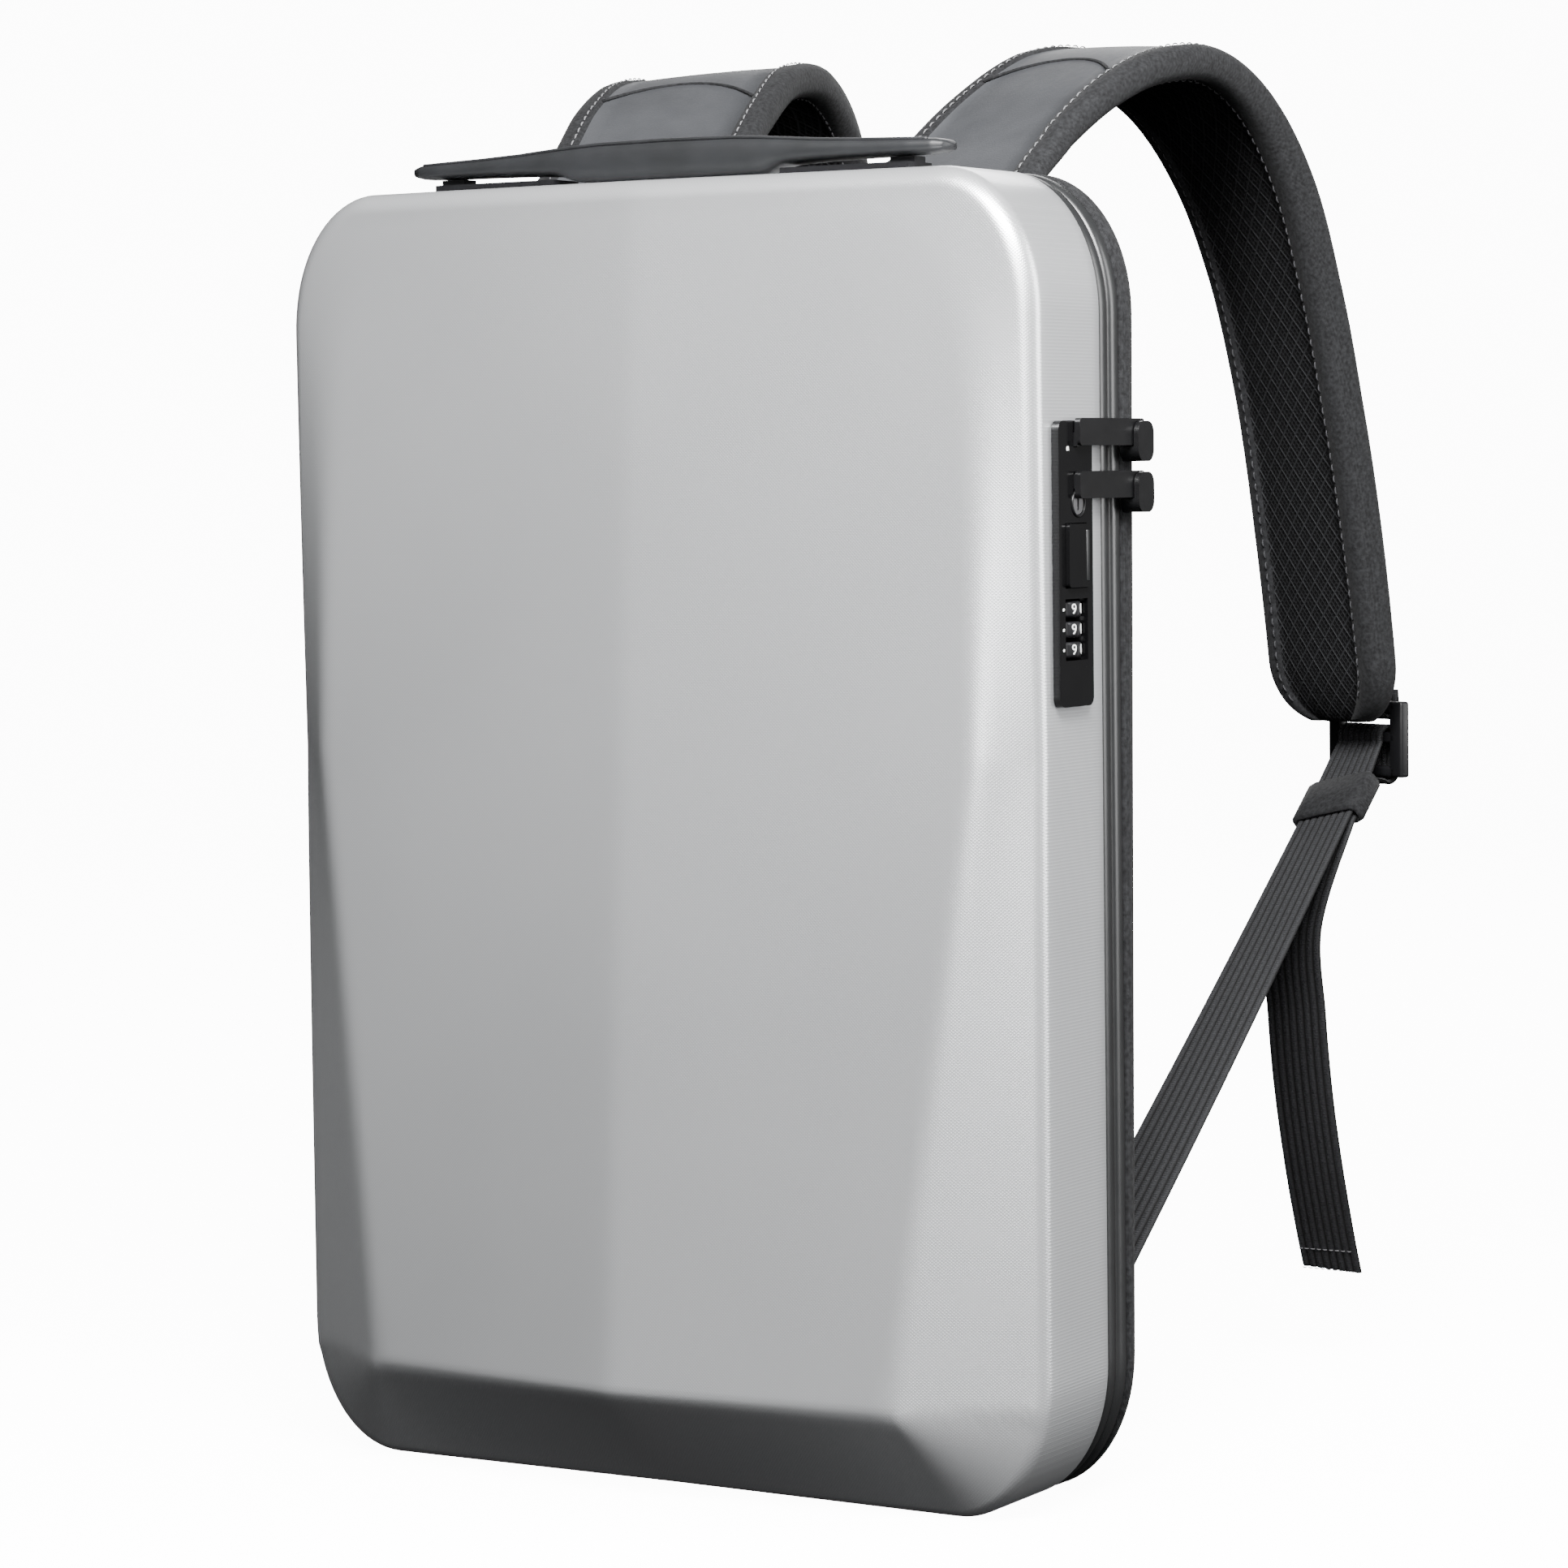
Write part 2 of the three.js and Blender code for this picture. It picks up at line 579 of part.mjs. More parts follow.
// A pull: a flat tab from the slider to the lock, with a hook that sits in the lock's slot
function zipPull({ fromCentre, hookDrop }) {
  const z = LOCK_Z + fromCentre;
  const hookZ = z - hookDrop;
  const tab = roundedPlate(SLIDER_Y + SLIDER_WIDTH / 4 - PULL_END_Y, PULL_HEIGHT, 1.5,
    PULL_X, PULL_X + PULL_THICK, (SLIDER_Y + SLIDER_WIDTH / 4 + PULL_END_Y) / 2, z);
  const hook = box(
    vec(PULL_X - PULL_HOOK_DEPTH, PULL_END_Y, hookZ - PULL_HOOK_HEIGHT / 2),
    vec(PULL_X + PULL_THICK / 2, PULL_END_Y + PULL_HOOK_THICK, hookZ + PULL_HOOK_HEIGHT / 2),
  );
  return tab.add(hook);
}

// A slider: a rounded body on the zip with an arch that holds the end of its pull
function zipSlider({ fromCentre, sliderDrop }) {
  const z = LOCK_Z + fromCentre - sliderDrop;
  const pullZ = LOCK_Z + fromCentre;
  const roofX = PULL_X + PULL_THICK + GAP + SLIDER_WALL;
  const body = roundedPlate(SLIDER_WIDTH, SLIDER_HEIGHT, 4, HALF + GAP, roofX, SLIDER_Y, z);
  const room = box(
    vec(PULL_X - GAP, SLIDER_Y - SLIDER_WIDTH, pullZ - PULL_HEIGHT / 2 - GAP),
    vec(PULL_X + PULL_THICK + GAP, SLIDER_Y + SLIDER_WIDTH / 4 + GAP, pullZ + PULL_HEIGHT / 2 + GAP),
  );
  return body.subtract(room);
}

// The strap's frame at one row: its outer surface, the way across it and the way out of it
function strapFrames(side) {
  const curve = new THREE.CatmullRomCurve3(STRAP_ROWS.map((row, k) => {
    const z = row.up * HEIGHT;
    const y = k < 2 ? backPlaneY(z) + GAP : row.back * STRAP_REACH;
    return vec(row.across * HALF, y, z);
  }), false, 'centripetal');
  const frames = [];
  for (let step = 0; step <= STRAP_STEPS; step += 1) {
    const share = step / STRAP_STEPS * (STRAP_ROWS.length - 1);
    const k = Math.min(Math.floor(share), STRAP_ROWS.length - 2);
    const [a, b] = [STRAP_ROWS[k], STRAP_ROWS[k + 1]];
    const mix = (name) => lerp(a[name], b[name], share - k);
    const yaw = radians(mix('yaw'));
    const roll = radians(mix('roll'));
    const along = curve.getTangent(step / STRAP_STEPS);
    const across = vec(Math.cos(yaw) * Math.cos(roll), Math.sin(yaw) * Math.cos(roll),
      -Math.sin(roll));
    across.addScaledVector(along, -across.dot(along)).normalize();
    const out = across.clone().cross(along).normalize();
    frames.push({
      at: curve.getPoint(step / STRAP_STEPS), along, across, out,
      wide: mix('wide') * STRAP_WIDTH, thick: mix('thick') * STRAP_THICK,
    });
  }
  const flip = vec(side, 1, 1);
  for (const frame of frames) {
    for (const key of ['at', 'along', 'across', 'out']) frame[key].multiply(flip);
  }
  return frames;
}

function shoulderStrap(side) {
  const frames = strapFrames(side);
  const end = frames[frames.length - 1].at;
  const rings = frames.map((frame) => {
    const left = end.distanceTo(frame.at);
    const rest = clamp(1 - left / STRAP_END_LENGTH, 0, 0.97);
    const rounding = Math.sqrt(1 - rest * rest);
    const half = frame.wide / 2 - STRAP_END_LENGTH * 0.75 * (1 - rounding);
    const thick = frame.thick * lerp(0.45, 1, rounding);
    const soft = Math.min(thick / 2, 4);
    const spots = [
      [half - soft, 0], [half - soft * 0.3, -soft * 0.3], [half, -soft],
      [half, soft - thick], [half - soft * 0.3, soft * 0.3 - thick], [half - soft, -thick],
    ];
    const all = [...spots, ...spots.slice().reverse().map(([u, v]) => [-u, v])];
    return all.map(([u, v]) => {
      const point = frame.at.clone()
        .addScaledVector(frame.across, u).addScaledVector(frame.out, v);
      const seat = backPlaneY(Math.min(point.z, HEIGHT)) + GAP;
      return point.setY(Math.max(point.y, seat));
    });
  });
  return loft(rings);
}

// A flat ribbon along rows of places: across is the way over its width, and a row that
// names its out keeps both directions as they are
function ribbon(rows, width, thick) {
  const rings = rows.map(({ at, across, out: fixed }, k) => {
    const before = rows[Math.max(k - 1, 0)].at;
    const after = rows[Math.min(k + 1, rows.length - 1)].at;
    const along = after.clone().sub(before).normalize();
    const flat = across.clone();
    if (!fixed) flat.addScaledVector(along, -across.dot(along));
    flat.normalize();
    const out = flat.clone().cross(along).normalize();
    const sign = fixed ? Math.sign(fixed.dot(out)) : 1;
    if (fixed) out.copy(fixed).multiplyScalar(sign);
    const spots = [[1, 1], [-1, 1], [-1, -1], [1, -1]];
    return spots.map(([u, v]) => at.clone()
      .addScaledVector(flat, u * width / 2).addScaledVector(out, v * thick / 2));
  });
  return loft(rings);
}

// The buckle's own frame, behind the lower end of the strap: u across, v up, n away from it
function buckleFrame(side) {
  const frames = strapFrames(side);
  const last = frames[frames.length - 1];
  const yaw = radians(BUCKLE_YAW);
  const u = vec(side * Math.cos(yaw), Math.sin(yaw), 0);
  const n = vec(-side * Math.sin(yaw), Math.cos(yaw), 0);
  const v = vec(0, 0, 1);
  const at = last.at.clone().addScaledVector(n, BUCKLE_BEHIND);
  at.z -= BUCKLE_DROP - BUCKLE_HEIGHT / 2;
  const spot = (across, out, up) => at.clone()
    .addScaledVector(u, across).addScaledVector(n, out).addScaledVector(v, up);
  return { u, n, v, spot };
}

const BAR_TOP_V = BUCKLE_HEIGHT / 2 - BUCKLE_BAR / 2;
const BAR_MID_V = BAR_TOP_V - BUCKLE_BAR - BUCKLE_TOP_SLOT;
const LIP_V = (BUCKLE_BAR - BUCKLE_HEIGHT) / 2;

// The buckle: a frame with two slots between three bars, the lowest one deeper as a lip
function buckle(side) {
  const { u, n, spot } = buckleFrame(side);
  const slab = (lowU, highU, lowN, highN, lowV, highV) => {
    const place = new THREE.Matrix4().makeBasis(u, n, vec(0, 0, 1));
    const low = vec(lowU, lowN, lowV);
    const high = vec(highU, highN, highV);
    const geometry = toGeometry(box(low, high)).applyMatrix4(place.setPosition(spot(0, 0, 0)));
    return toSolid(geometry);
  };
  const half = BUCKLE_WIDTH / 2;
  const thin = BUCKLE_THICK / 2;
  const room = BELT_WIDTH / 2 + 1.2;
  const midLow = BAR_MID_V - BUCKLE_BAR / 2;
  const frame = slab(-half, half, -thin, thin, -BUCKLE_HEIGHT / 2, BUCKLE_HEIGHT / 2);
  const upper = slab(-room, room, -thin - 1, thin + 1, BAR_MID_V + BUCKLE_BAR / 2,
    BAR_TOP_V - BUCKLE_BAR / 2);
  const lower = slab(-room, room, -thin - 1, thin + 1, midLow - BUCKLE_LOW_SLOT, midLow);
  return frame.subtract(upper).subtract(lower);
}

// A turn of the webbing round a bar of the buckle, as places in the buckle's frame
function turnRound({ u, n, v, spot }, barV, radius, fromDegrees, toDegrees, steps) {
  const rows = [];
  for (let k = 0; k <= steps; k += 1) {
    const angle = radians(lerp(fromDegrees, toDegrees, k / steps));
    const at = spot(0, radius * Math.cos(angle), barV + radius * Math.sin(angle));
    const out = n.clone().multiplyScalar(Math.cos(angle)).addScaledVector(v, Math.sin(angle));
    rows.push({ at, across: u, out });
  }
  return rows;
}

const TURN_RADIUS = Math.hypot(BUCKLE_THICK / 2, BUCKLE_BAR / 2) + BELT_THICK / 2 + GAP;

// The short tab that is sewn to the strap and holds the buckle by its top bar
function buckleTab(side) {
  const frame = buckleFrame(side);
  const strapSide = -BUCKLE_BEHIND + BELT_THICK / 2 + GAP;
  const rows = [
    { at: frame.spot(0, strapSide, BAR_TOP_V + TAB_LENGTH), across: frame.u },
    { at: frame.spot(0, strapSide, BAR_TOP_V + TAB_LENGTH / 3), across: frame.u },
    ...turnRound(frame, BAR_TOP_V, TURN_RADIUS, 170, 370, 8),
    { at: frame.spot(0, TURN_RADIUS * 0.9, BAR_TOP_V + 6), across: frame.u },
  ];
  return ribbon(rows, BELT_WIDTH, BELT_THICK);
}

// The place on the taut stretch of webbing, from the anchor to the buckle
function anchorPlace(side) {
  const z = ANCHOR_Z;
  return vec(side * ANCHOR_X, backPlaneY(z) + GAP * 2 + ANCHOR_THICK + BELT_THICK / 2, z);
}

function tautEnd(side) {
  const { spot } = buckleFrame(side);
  return spot(0, -TURN_RADIUS, BAR_MID_V - BUCKLE_BAR);
}

// The keeper's place on the taut stretch: along it, across it and down to the free ply
function keeperFrame(side) {
  const foot = anchorPlace(side);
  const top = tautEnd(side);
  const along = top.clone().sub(foot).normalize();
  const { u } = buckleFrame(side);
  const across = u.clone().addScaledVector(along, -u.dot(along)).normalize();
  const down = across.clone().cross(along).multiplyScalar(-side);
  return { at: foot.lerp(top, KEEPER_SHARE), along, across, down };
}

function beltRows(side) {
  const frame = buckleFrame(side);
  const { at: middle, along, across, down } = keeperFrame(side);
  const straight = KEEPER_LENGTH / 2 + BELT_THICK;
  const flat = vec(side, 0, 0);
  const foot = anchorPlace(side);
  const low = foot.clone().add(vec(0, backPlaneY(foot.z - BELT_END) - backPlaneY(foot.z), 0));
  low.z -= BELT_END;
  const lift = foot.clone().addScaledVector(along, BELT_END).add(vec(0, 0, BELT_THICK));
  const rows = [{ at: low, across: flat }, { at: foot, across: flat }];
  const keeperLow = middle.clone().addScaledVector(along, -straight);
  for (let step = 0; step < TAUT_STEPS; step += 1) {
    const share = step / TAUT_STEPS;
    rows.push({ at: lift.clone().lerp(keeperLow, share), across: flat.clone().lerp(across, share) });
  }
  const inKeeper = (offset, ply) => ({
    at: middle.clone().addScaledVector(along, offset).addScaledVector(down, ply),
    across,
    out: down,
  });
  rows.push(inKeeper(-straight, 0), inKeeper(straight, 0));
  rows.push(...turnRound(frame, BAR_MID_V, TURN_RADIUS, 200, -15, 8));
  rows.push(...turnRound(frame, LIP_V, TURN_RADIUS, -5, -130, 4));
  const ply = BELT_THICK + KEEPER_ROOM;
  rows.push(inKeeper(straight, ply));
  const free = new THREE.CatmullRomCurve3([
    inKeeper(0, ply).at,
    inKeeper(-straight, ply).at,
    ...FREE_ROWS.map((row) => (
      vec(side * row.across * HALF, row.back * STRAP_REACH, row.up * HEIGHT)
    )),
  ], false, 'centripetal');
  const first = 1 / (FREE_ROWS.length + 1);
  const hang = vec(side, -0.1, 0);
  rows.push(inKeeper(-straight, ply));
  for (let step = 1; step <= FREE_STEPS; step += 1) {
    const share = step / FREE_STEPS;
    rows.push({ at: free.getPoint(lerp(first, 1, share)), across: across.clone().lerp(hang, share) });
  }
  return rows;
}

function belt(side) {
  return ribbon(beltRows(side), BELT_WIDTH, BELT_THICK);
}

// The keeper: a flat elastic loop round both plies of the webbing
function keeper(side) {
  const { at, along, across, down } = keeperFrame(side);
  const ply = BELT_THICK + KEEPER_ROOM;
  const loop = (wall, length) => {
    const middle = at.clone().addScaledVector(down, ply / 2);
    const rows = [-0.5, 0.5].map((share) => ({
      at: middle.clone().addScaledVector(along, share * length), across, out: down,
    }));
    return ribbon(rows, BELT_WIDTH + KEEPER_ROOM + wall * 2, BELT_THICK + ply + KEEPER_ROOM + wall * 2);
  };
  return loop(KEEPER_WALL, KEEPER_LENGTH).subtract(loop(0, KEEPER_LENGTH + 2));
}

// The fabric patch on the back body that the webbing is sewn to
function anchorPatch(side) {
  const rows = [-0.5, 0.5].map((share) => {
    const z = ANCHOR_Z - 4 + share * ANCHOR_SIZE;
    const at = vec(side * ANCHOR_X, backPlaneY(z) + GAP + ANCHOR_THICK / 2, z);
    return { at, across: vec(1, 0, 0) };
  });
  return ribbon(rows, ANCHOR_SIZE, ANCHOR_THICK);
}

const nodes = [];
function material(color, roughness, metalness = 0) {
  return new THREE.MeshStandardMaterial({ color, roughness, metalness });
}
function node(name, solid, look) {
  const mesh = new THREE.Mesh(toGeometry(solid), look);
  mesh.name = name;
  nodes.push(mesh);
}

node('front_shell', shell(), material(SILVER, 0.35, 0.3));
node('zip_band_front', band(BAND_FRONT_Y), material(BLACK_FABRIC, 0.6));
node('zip_band_rear', band(BAND_REAR_Y), material(BLACK_FABRIC, 0.6));
node('back_body', backBody(), material(BLACK_FABRIC, 0.9));
node('back_pad', backPad(), material(BLACK_MESH, 0.95));
node('carry_handle', handle(), material(BLACK_PLASTIC, 0.5));
node('lock_housing', lockHousing(), material(BLACK_PLASTIC, 0.4));
node('dial_axle', dialAxle(), material(METAL, 0.35, 0.8));
for (let k = 0; k < DIAL_COUNT; k += 1) {
  const z = DIAL_MID_Z + ((DIAL_COUNT - 1) / 2 - k) * DIAL_PITCH;
  node(`dial_${k + 1}`, dial(z), material(BLACK_PLASTIC, 0.45));
}
node('release_button', releaseButton(), material(BLACK_PLASTIC, 0.4));
node('key_cylinder', keyCylinder(), material(METAL, 0.3, 0.8));
for (const pull of PULLS) {
  node(`zip_pull_${pull.name}`, zipPull(pull), material(BLACK_PLASTIC, 0.4, 0.4));
  node(`zip_slider_${pull.name}`, zipSlider(pull), material(BLACK_PLASTIC, 0.35, 0.6));
}
for (const [label, side] of [['right', 1], ['left', -1]]) {
  node(`handle_plate_${label}`, handlePlate(side), material(BLACK_PLASTIC, 0.5));
  node(`shoulder_strap_${label}`, shoulderStrap(side), material(GREY_LEATHER, 0.7));
  node(`buckle_tab_${label}`, buckleTab(side), material(BLACK_WEBBING, 0.85));
  node(`buckle_${label}`, buckle(side), material(BLACK_PLASTIC, 0.45));
  node(`webbing_${label}`, belt(side), material(BLACK_WEBBING, 0.85));
  node(`keeper_${label}`, keeper(side), material(BLACK_WEBBING, 0.9));
  node(`webbing_anchor_${label}`, anchorPatch(side), material(BLACK_FABRIC, 0.9));
}

const group = new THREE.Group();
group.add(...nodes);

export default group;
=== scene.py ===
import math

import bmesh
import bpy
import numpy as np
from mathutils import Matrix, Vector


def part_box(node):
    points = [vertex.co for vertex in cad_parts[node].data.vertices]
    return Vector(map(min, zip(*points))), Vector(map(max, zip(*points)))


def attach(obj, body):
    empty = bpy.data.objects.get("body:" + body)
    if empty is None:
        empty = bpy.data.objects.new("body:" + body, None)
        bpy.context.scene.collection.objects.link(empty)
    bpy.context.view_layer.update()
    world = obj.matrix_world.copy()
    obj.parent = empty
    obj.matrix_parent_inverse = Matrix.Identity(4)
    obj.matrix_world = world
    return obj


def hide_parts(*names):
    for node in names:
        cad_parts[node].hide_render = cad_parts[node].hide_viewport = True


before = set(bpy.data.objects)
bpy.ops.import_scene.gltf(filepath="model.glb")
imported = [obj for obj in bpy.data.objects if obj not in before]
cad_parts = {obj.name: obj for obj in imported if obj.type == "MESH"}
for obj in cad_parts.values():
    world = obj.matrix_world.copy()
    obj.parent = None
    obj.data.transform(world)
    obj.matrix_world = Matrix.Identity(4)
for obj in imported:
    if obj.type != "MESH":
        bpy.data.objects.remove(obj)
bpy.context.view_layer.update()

# Case sizes, in metres, as in the frame
SHELL_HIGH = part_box("front_shell")[1]
HEIGHT = SHELL_HIGH.z
HALF = SHELL_HIGH.x
RIM_Y = SHELL_HIGH.y
CORNER_ACROSS = 0.034
CORNER_UP = 0.046
BORDER_Y = -0.030
EDGE_ROUND = 0.007
PANEL_HALF = 0.100
PANEL_FOOT_Z = 0.036
PANEL_SIDE_TOP_Z = 0.373
PANEL_CORNER_RISE = 0.020
SIDE_FACET_LEAST = 0.010
RIDGE_FOOT_RISE = 0.0305
RIDGE_HEAD_RISE = 0.005
RIDGE_HEAD_Z = HEIGHT - EDGE_ROUND - 0.002
RIDGE_SOFT = 0.002
CREASE_SOFT = 0.0021
BACK_Y_TOP = 0.045
BACK_Y_FOOT = 0.040
BACK_ROUND = 0.008
GAP = 0.0003

# Outline resolution
SIDE_STEPS = 96
TOP_STEPS = 60
CORNER_STEPS = 20


def mesh_object(name, points, faces, material, body="case"):
    mesh = bpy.data.meshes.new(name)
    mesh.from_pydata([tuple(p) for p in points], [], faces)
    mesh.validate()
    piece = bpy.data.objects.new(name, mesh)
    bpy.context.scene.collection.objects.link(piece)
    mesh.materials.append(material)
    turn_outwards(mesh)
    mesh.polygons.foreach_set("use_smooth", [True] * len(mesh.polygons))
    if body:
        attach(piece, body)
    return piece


def turn_outwards(mesh):
    work = bmesh.new()
    work.from_mesh(mesh)
    bmesh.ops.recalc_face_normals(work, faces=work.faces)
    work.to_mesh(mesh)
    work.free()


def add_modifier(piece, kind, **values):
    modifier = piece.modifiers.new(kind.title(), kind)
    for key, value in values.items():
        setattr(modifier, key, value)
    return modifier


def stands_for(piece, node):
    """The piece takes the place of a solid of the frame, which is hidden."""
    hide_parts(node)


def merged(name, parts, material, body="case"):
    """One object from many small lists of points and faces."""
    points, faces = [], []
    for part_points, part_faces in parts:
        start = len(points)
        points.extend(part_points)
        faces.extend([tuple(start + i for i in face) for face in part_faces])
    return mesh_object(name, points, faces, material, body)


# Materials

class Shader:
    """A material's node tree with short calls for the nodes that the looks need."""

    def __init__(self, name, rough=0.5, metal=0.0, **sockets):
        self.material = bpy.data.materials.new(name)
        self.material.use_nodes = True
        self.nodes = self.material.node_tree.nodes
        self.links = self.material.node_tree.links
        self.surface = self.nodes["Principled BSDF"]
        self.surface.inputs["Roughness"].default_value = rough
        self.surface.inputs["Metallic"].default_value = metal
        for key, value in sockets.items():
            self.surface.inputs[key.replace("_", " ")].default_value = value
        self.place = self.nodes.new("ShaderNodeTexCoord").outputs["Object"]

    def node(self, kind, links=(), **values):
        made = self.nodes.new(kind)
        for key, value in values.items():
            setattr(made, key, value)
        for socket, source in dict(links).items():
            if hasattr(source, "links"):
                self.links.new(source, made.inputs[socket])
            else:
                made.inputs[socket].default_value = source
        return made

    def math(self, operation, a, b=0.0):
        return self.node("ShaderNodeMath", {0: a, 1: b}, operation=operation).outputs[0]

    def mixed(self, a, share_a, b, share_b):
        return self.math("ADD", self.math("MULTIPLY", a, share_a), self.math("MULTIPLY", b, share_b))

    def noise(self, scale, detail=4.0):
        links = {"Vector": self.place, "Scale": scale, "Detail": detail}
        return self.node("ShaderNodeTexNoise", links).outputs["Fac"]

    def wave(self, scale, direction, place=None):
        links = {"Vector": place or self.place, "Scale": scale, "Distortion": 0.0}
        made = self.node("ShaderNodeTexWave", links, bands_direction=direction)
        return made.outputs["Fac"]

    def turned(self, angles):
        links = {"Vector": self.place, "Rotation": angles}
        return self.node("ShaderNodeMapping", links).outputs["Vector"]

    def colour(self, factor, dark, light, low=0.3, high=0.7):
        ramp = self.node("ShaderNodeValToRGB", {"Fac": factor})
        ramp.color_ramp.elements[0].position = low
        ramp.color_ramp.elements[1].position = high
        ramp.color_ramp.elements[0].color = (*dark, 1)
        ramp.color_ramp.elements[1].color = (*light, 1)
        self.links.new(ramp.outputs["Color"], self.surface.inputs["Base Color"])

    def roughness(self, factor, low, high):
        made = self.node("ShaderNodeMapRange", {"Value": factor, "To Min": low, "To Max": high})
        self.links.new(made.outputs["Result"], self.surface.inputs["Roughness"])

    def bump(self, height, distance, strength):
        links = {"Height": height, "Distance": distance, "Strength": strength}
        made = self.node("ShaderNodeBump", links)
        self.links.new(made.outputs["Normal"], self.surface.inputs["Normal"])


WEAVE_SCALE = 420.0
NET_LAYERS = ((62.0, 16.0, 1.0), (186.0, 5.0, 0.55))
NET_SLANT = 38


def silver_material():
    look = Shader("silver_shell", rough=0.36, metal=0.75, Coat_Weight=0.35, Coat_Roughness=0.16)
    weave_a = look.wave(WEAVE_SCALE, "X", look.turned((0, math.radians(45), 0)))
    weave_b = look.wave(WEAVE_SCALE, "X", look.turned((0, math.radians(-45), 0)))
    weave = look.math("MULTIPLY", weave_a, weave_b)
    mix = look.mixed(weave, 0.22, look.noise(9.0, 2.0), 0.5)
    look.colour(mix, (0.63, 0.64, 0.655), (0.75, 0.76, 0.775), 0.15, 0.6)
    look.roughness(look.noise(900.0, 2.0), 0.32, 0.4)
    look.bump(weave, 0.00008, 0.35)
    return look.material


def textile_material(name, dark, light, scale=900.0, rough=0.85, depth=0.00025):
    look = Shader(name, rough=rough, Sheen_Weight=0.03, Specular_IOR_Level=0.2)
    warp = look.wave(scale, "Z")
    weft = look.wave(scale, "X", look.turned((0, 0, math.radians(20))))
    weave = look.math("MULTIPLY", warp, weft)
    mixed = look.mixed(weave, 0.15, look.noise(scale * 0.7, 6.0), 0.85)
    look.colour(mixed, dark, light)
    look.bump(mixed, depth, 0.9)
    return look.material


def mesh_fabric_material():
    look = Shader("black_mesh", rough=0.8, Specular_IOR_Level=0.15)
    nets = []
    for scale, power, share in NET_LAYERS:
        lines = []
        for slant in (NET_SLANT, -NET_SLANT):
            line = look.wave(scale, "X", look.turned((0, math.radians(slant), 0)))
            lines.append(look.math("POWER", line, power))
        nets.append(look.math("MULTIPLY", look.math("MAXIMUM", *lines), share))
    mixed = look.mixed(look.math("MAXIMUM", *nets), 0.75, look.noise(1500.0, 3.0), 0.25)
    look.colour(mixed, (0.0015, 0.0015, 0.0017), (0.02, 0.0205, 0.022), 0.15, 0.95)
    look.bump(mixed, 0.0007, 0.9)
    return look.material


def leather_material():
    look = Shader("grey_leather", rough=0.6, Specular_IOR_Level=0.35)
    grain = look.node("ShaderNodeTexVoronoi", {"Vector": look.place, "Scale": 1500.0})
    look.colour(look.noise(60.0, 3.0), (0.031, 0.0322, 0.035), (0.039, 0.0405, 0.044))
    look.roughness(look.noise(400.0, 3.0), 0.52, 0.66)
    look.bump(grain.outputs["Distance"], 0.00012, 0.35)
    return look.material


def webbing_material():
    """Woven nylon, with painted shade darkening the grooves between its ribs."""
    look = Shader("black_webbing", rough=0.72, Sheen_Weight=0.03, Specular_IOR_Level=0.25)
    # painted shade: the base colour is darkened where the mesh's groove share is high, in the grooves
    # between the ribs
    groove = look.node("ShaderNodeAttribute", attribute_name="rib").outputs["Fac"]
    mixed = look.mixed(look.wave(520.0, "Z"), 0.3, look.noise(1400.0, 4.0), 0.7)
    mixed = look.math("MULTIPLY", mixed, look.math("SUBTRACT", 1.0, groove))
    look.colour(mixed, (0.0015, 0.0015, 0.0017), (0.024, 0.0245, 0.027), 0.1, 0.7)
    look.bump(mixed, 0.0004, 0.9)
    return look.material


def moulded_material(name, dark, light, rough, metal=0.0, shine=0.5):
    look = Shader(name, rough=rough, metal=metal, Coat_Roughness=0.12, Specular_IOR_Level=shine)
    look.colour(look.noise(45.0, 3.0), dark, light)
    look.roughness(look.noise(260.0, 3.0), rough * 0.85, rough * 1.15)
    look.bump(look.noise(2600.0, 2.0), 0.00003, 0.5)
    return look.material


SILVER = silver_material()
NET = mesh_fabric_material()
LEATHER = leather_material()
WEBBING = webbing_material()
FABRIC = textile_material("black_fabric", (0.003, 0.003, 0.0034), (0.02, 0.0205, 0.022))
BINDING = textile_material("black_binding", (0.003, 0.003, 0.0034), (0.018, 0.0185, 0.02), 1100.0)
THREAD = textile_material("grey_thread", (0.10, 0.10, 0.105), (0.2, 0.2, 0.205), 2600.0, 0.7, 0.0001)
DARK_THREAD = textile_material(
    "dark_thread", (0.02, 0.02, 0.022), (0.06, 0.06, 0.064), 2600.0, 0.7, 0.0001)
PIPING = moulded_material(
    "black_piping", (0.008, 0.0085, 0.009), (0.012, 0.0125, 0.013), 0.34, shine=0.7)
PLASTIC = moulded_material(
    "black_plastic", (0.004, 0.004, 0.0045), (0.006, 0.006, 0.007), 0.42, shine=0.3)
GLOSS = moulded_material(
    "gloss_black", (0.002, 0.002, 0.0022), (0.003, 0.003, 0.0033), 0.14, shine=0.35)
RUBBER = moulded_material(
    "handle_rubber", (0.009, 0.0095, 0.01), (0.014, 0.0145, 0.016), 0.46, shine=0.4)
METAL = moulded_material(
    "black_metal", (0.003, 0.003, 0.0033), (0.005, 0.005, 0.0055), 0.34, shine=0.3)
KEY_METAL = moulded_material("key_metal", (0.35, 0.35, 0.36), (0.5, 0.5, 0.51), 0.3, metal=1.0)
WHITE = moulded_material("digit_white", (0.78, 0.78, 0.77), (0.86, 0.86, 0.85), 0.5)


# Case outline

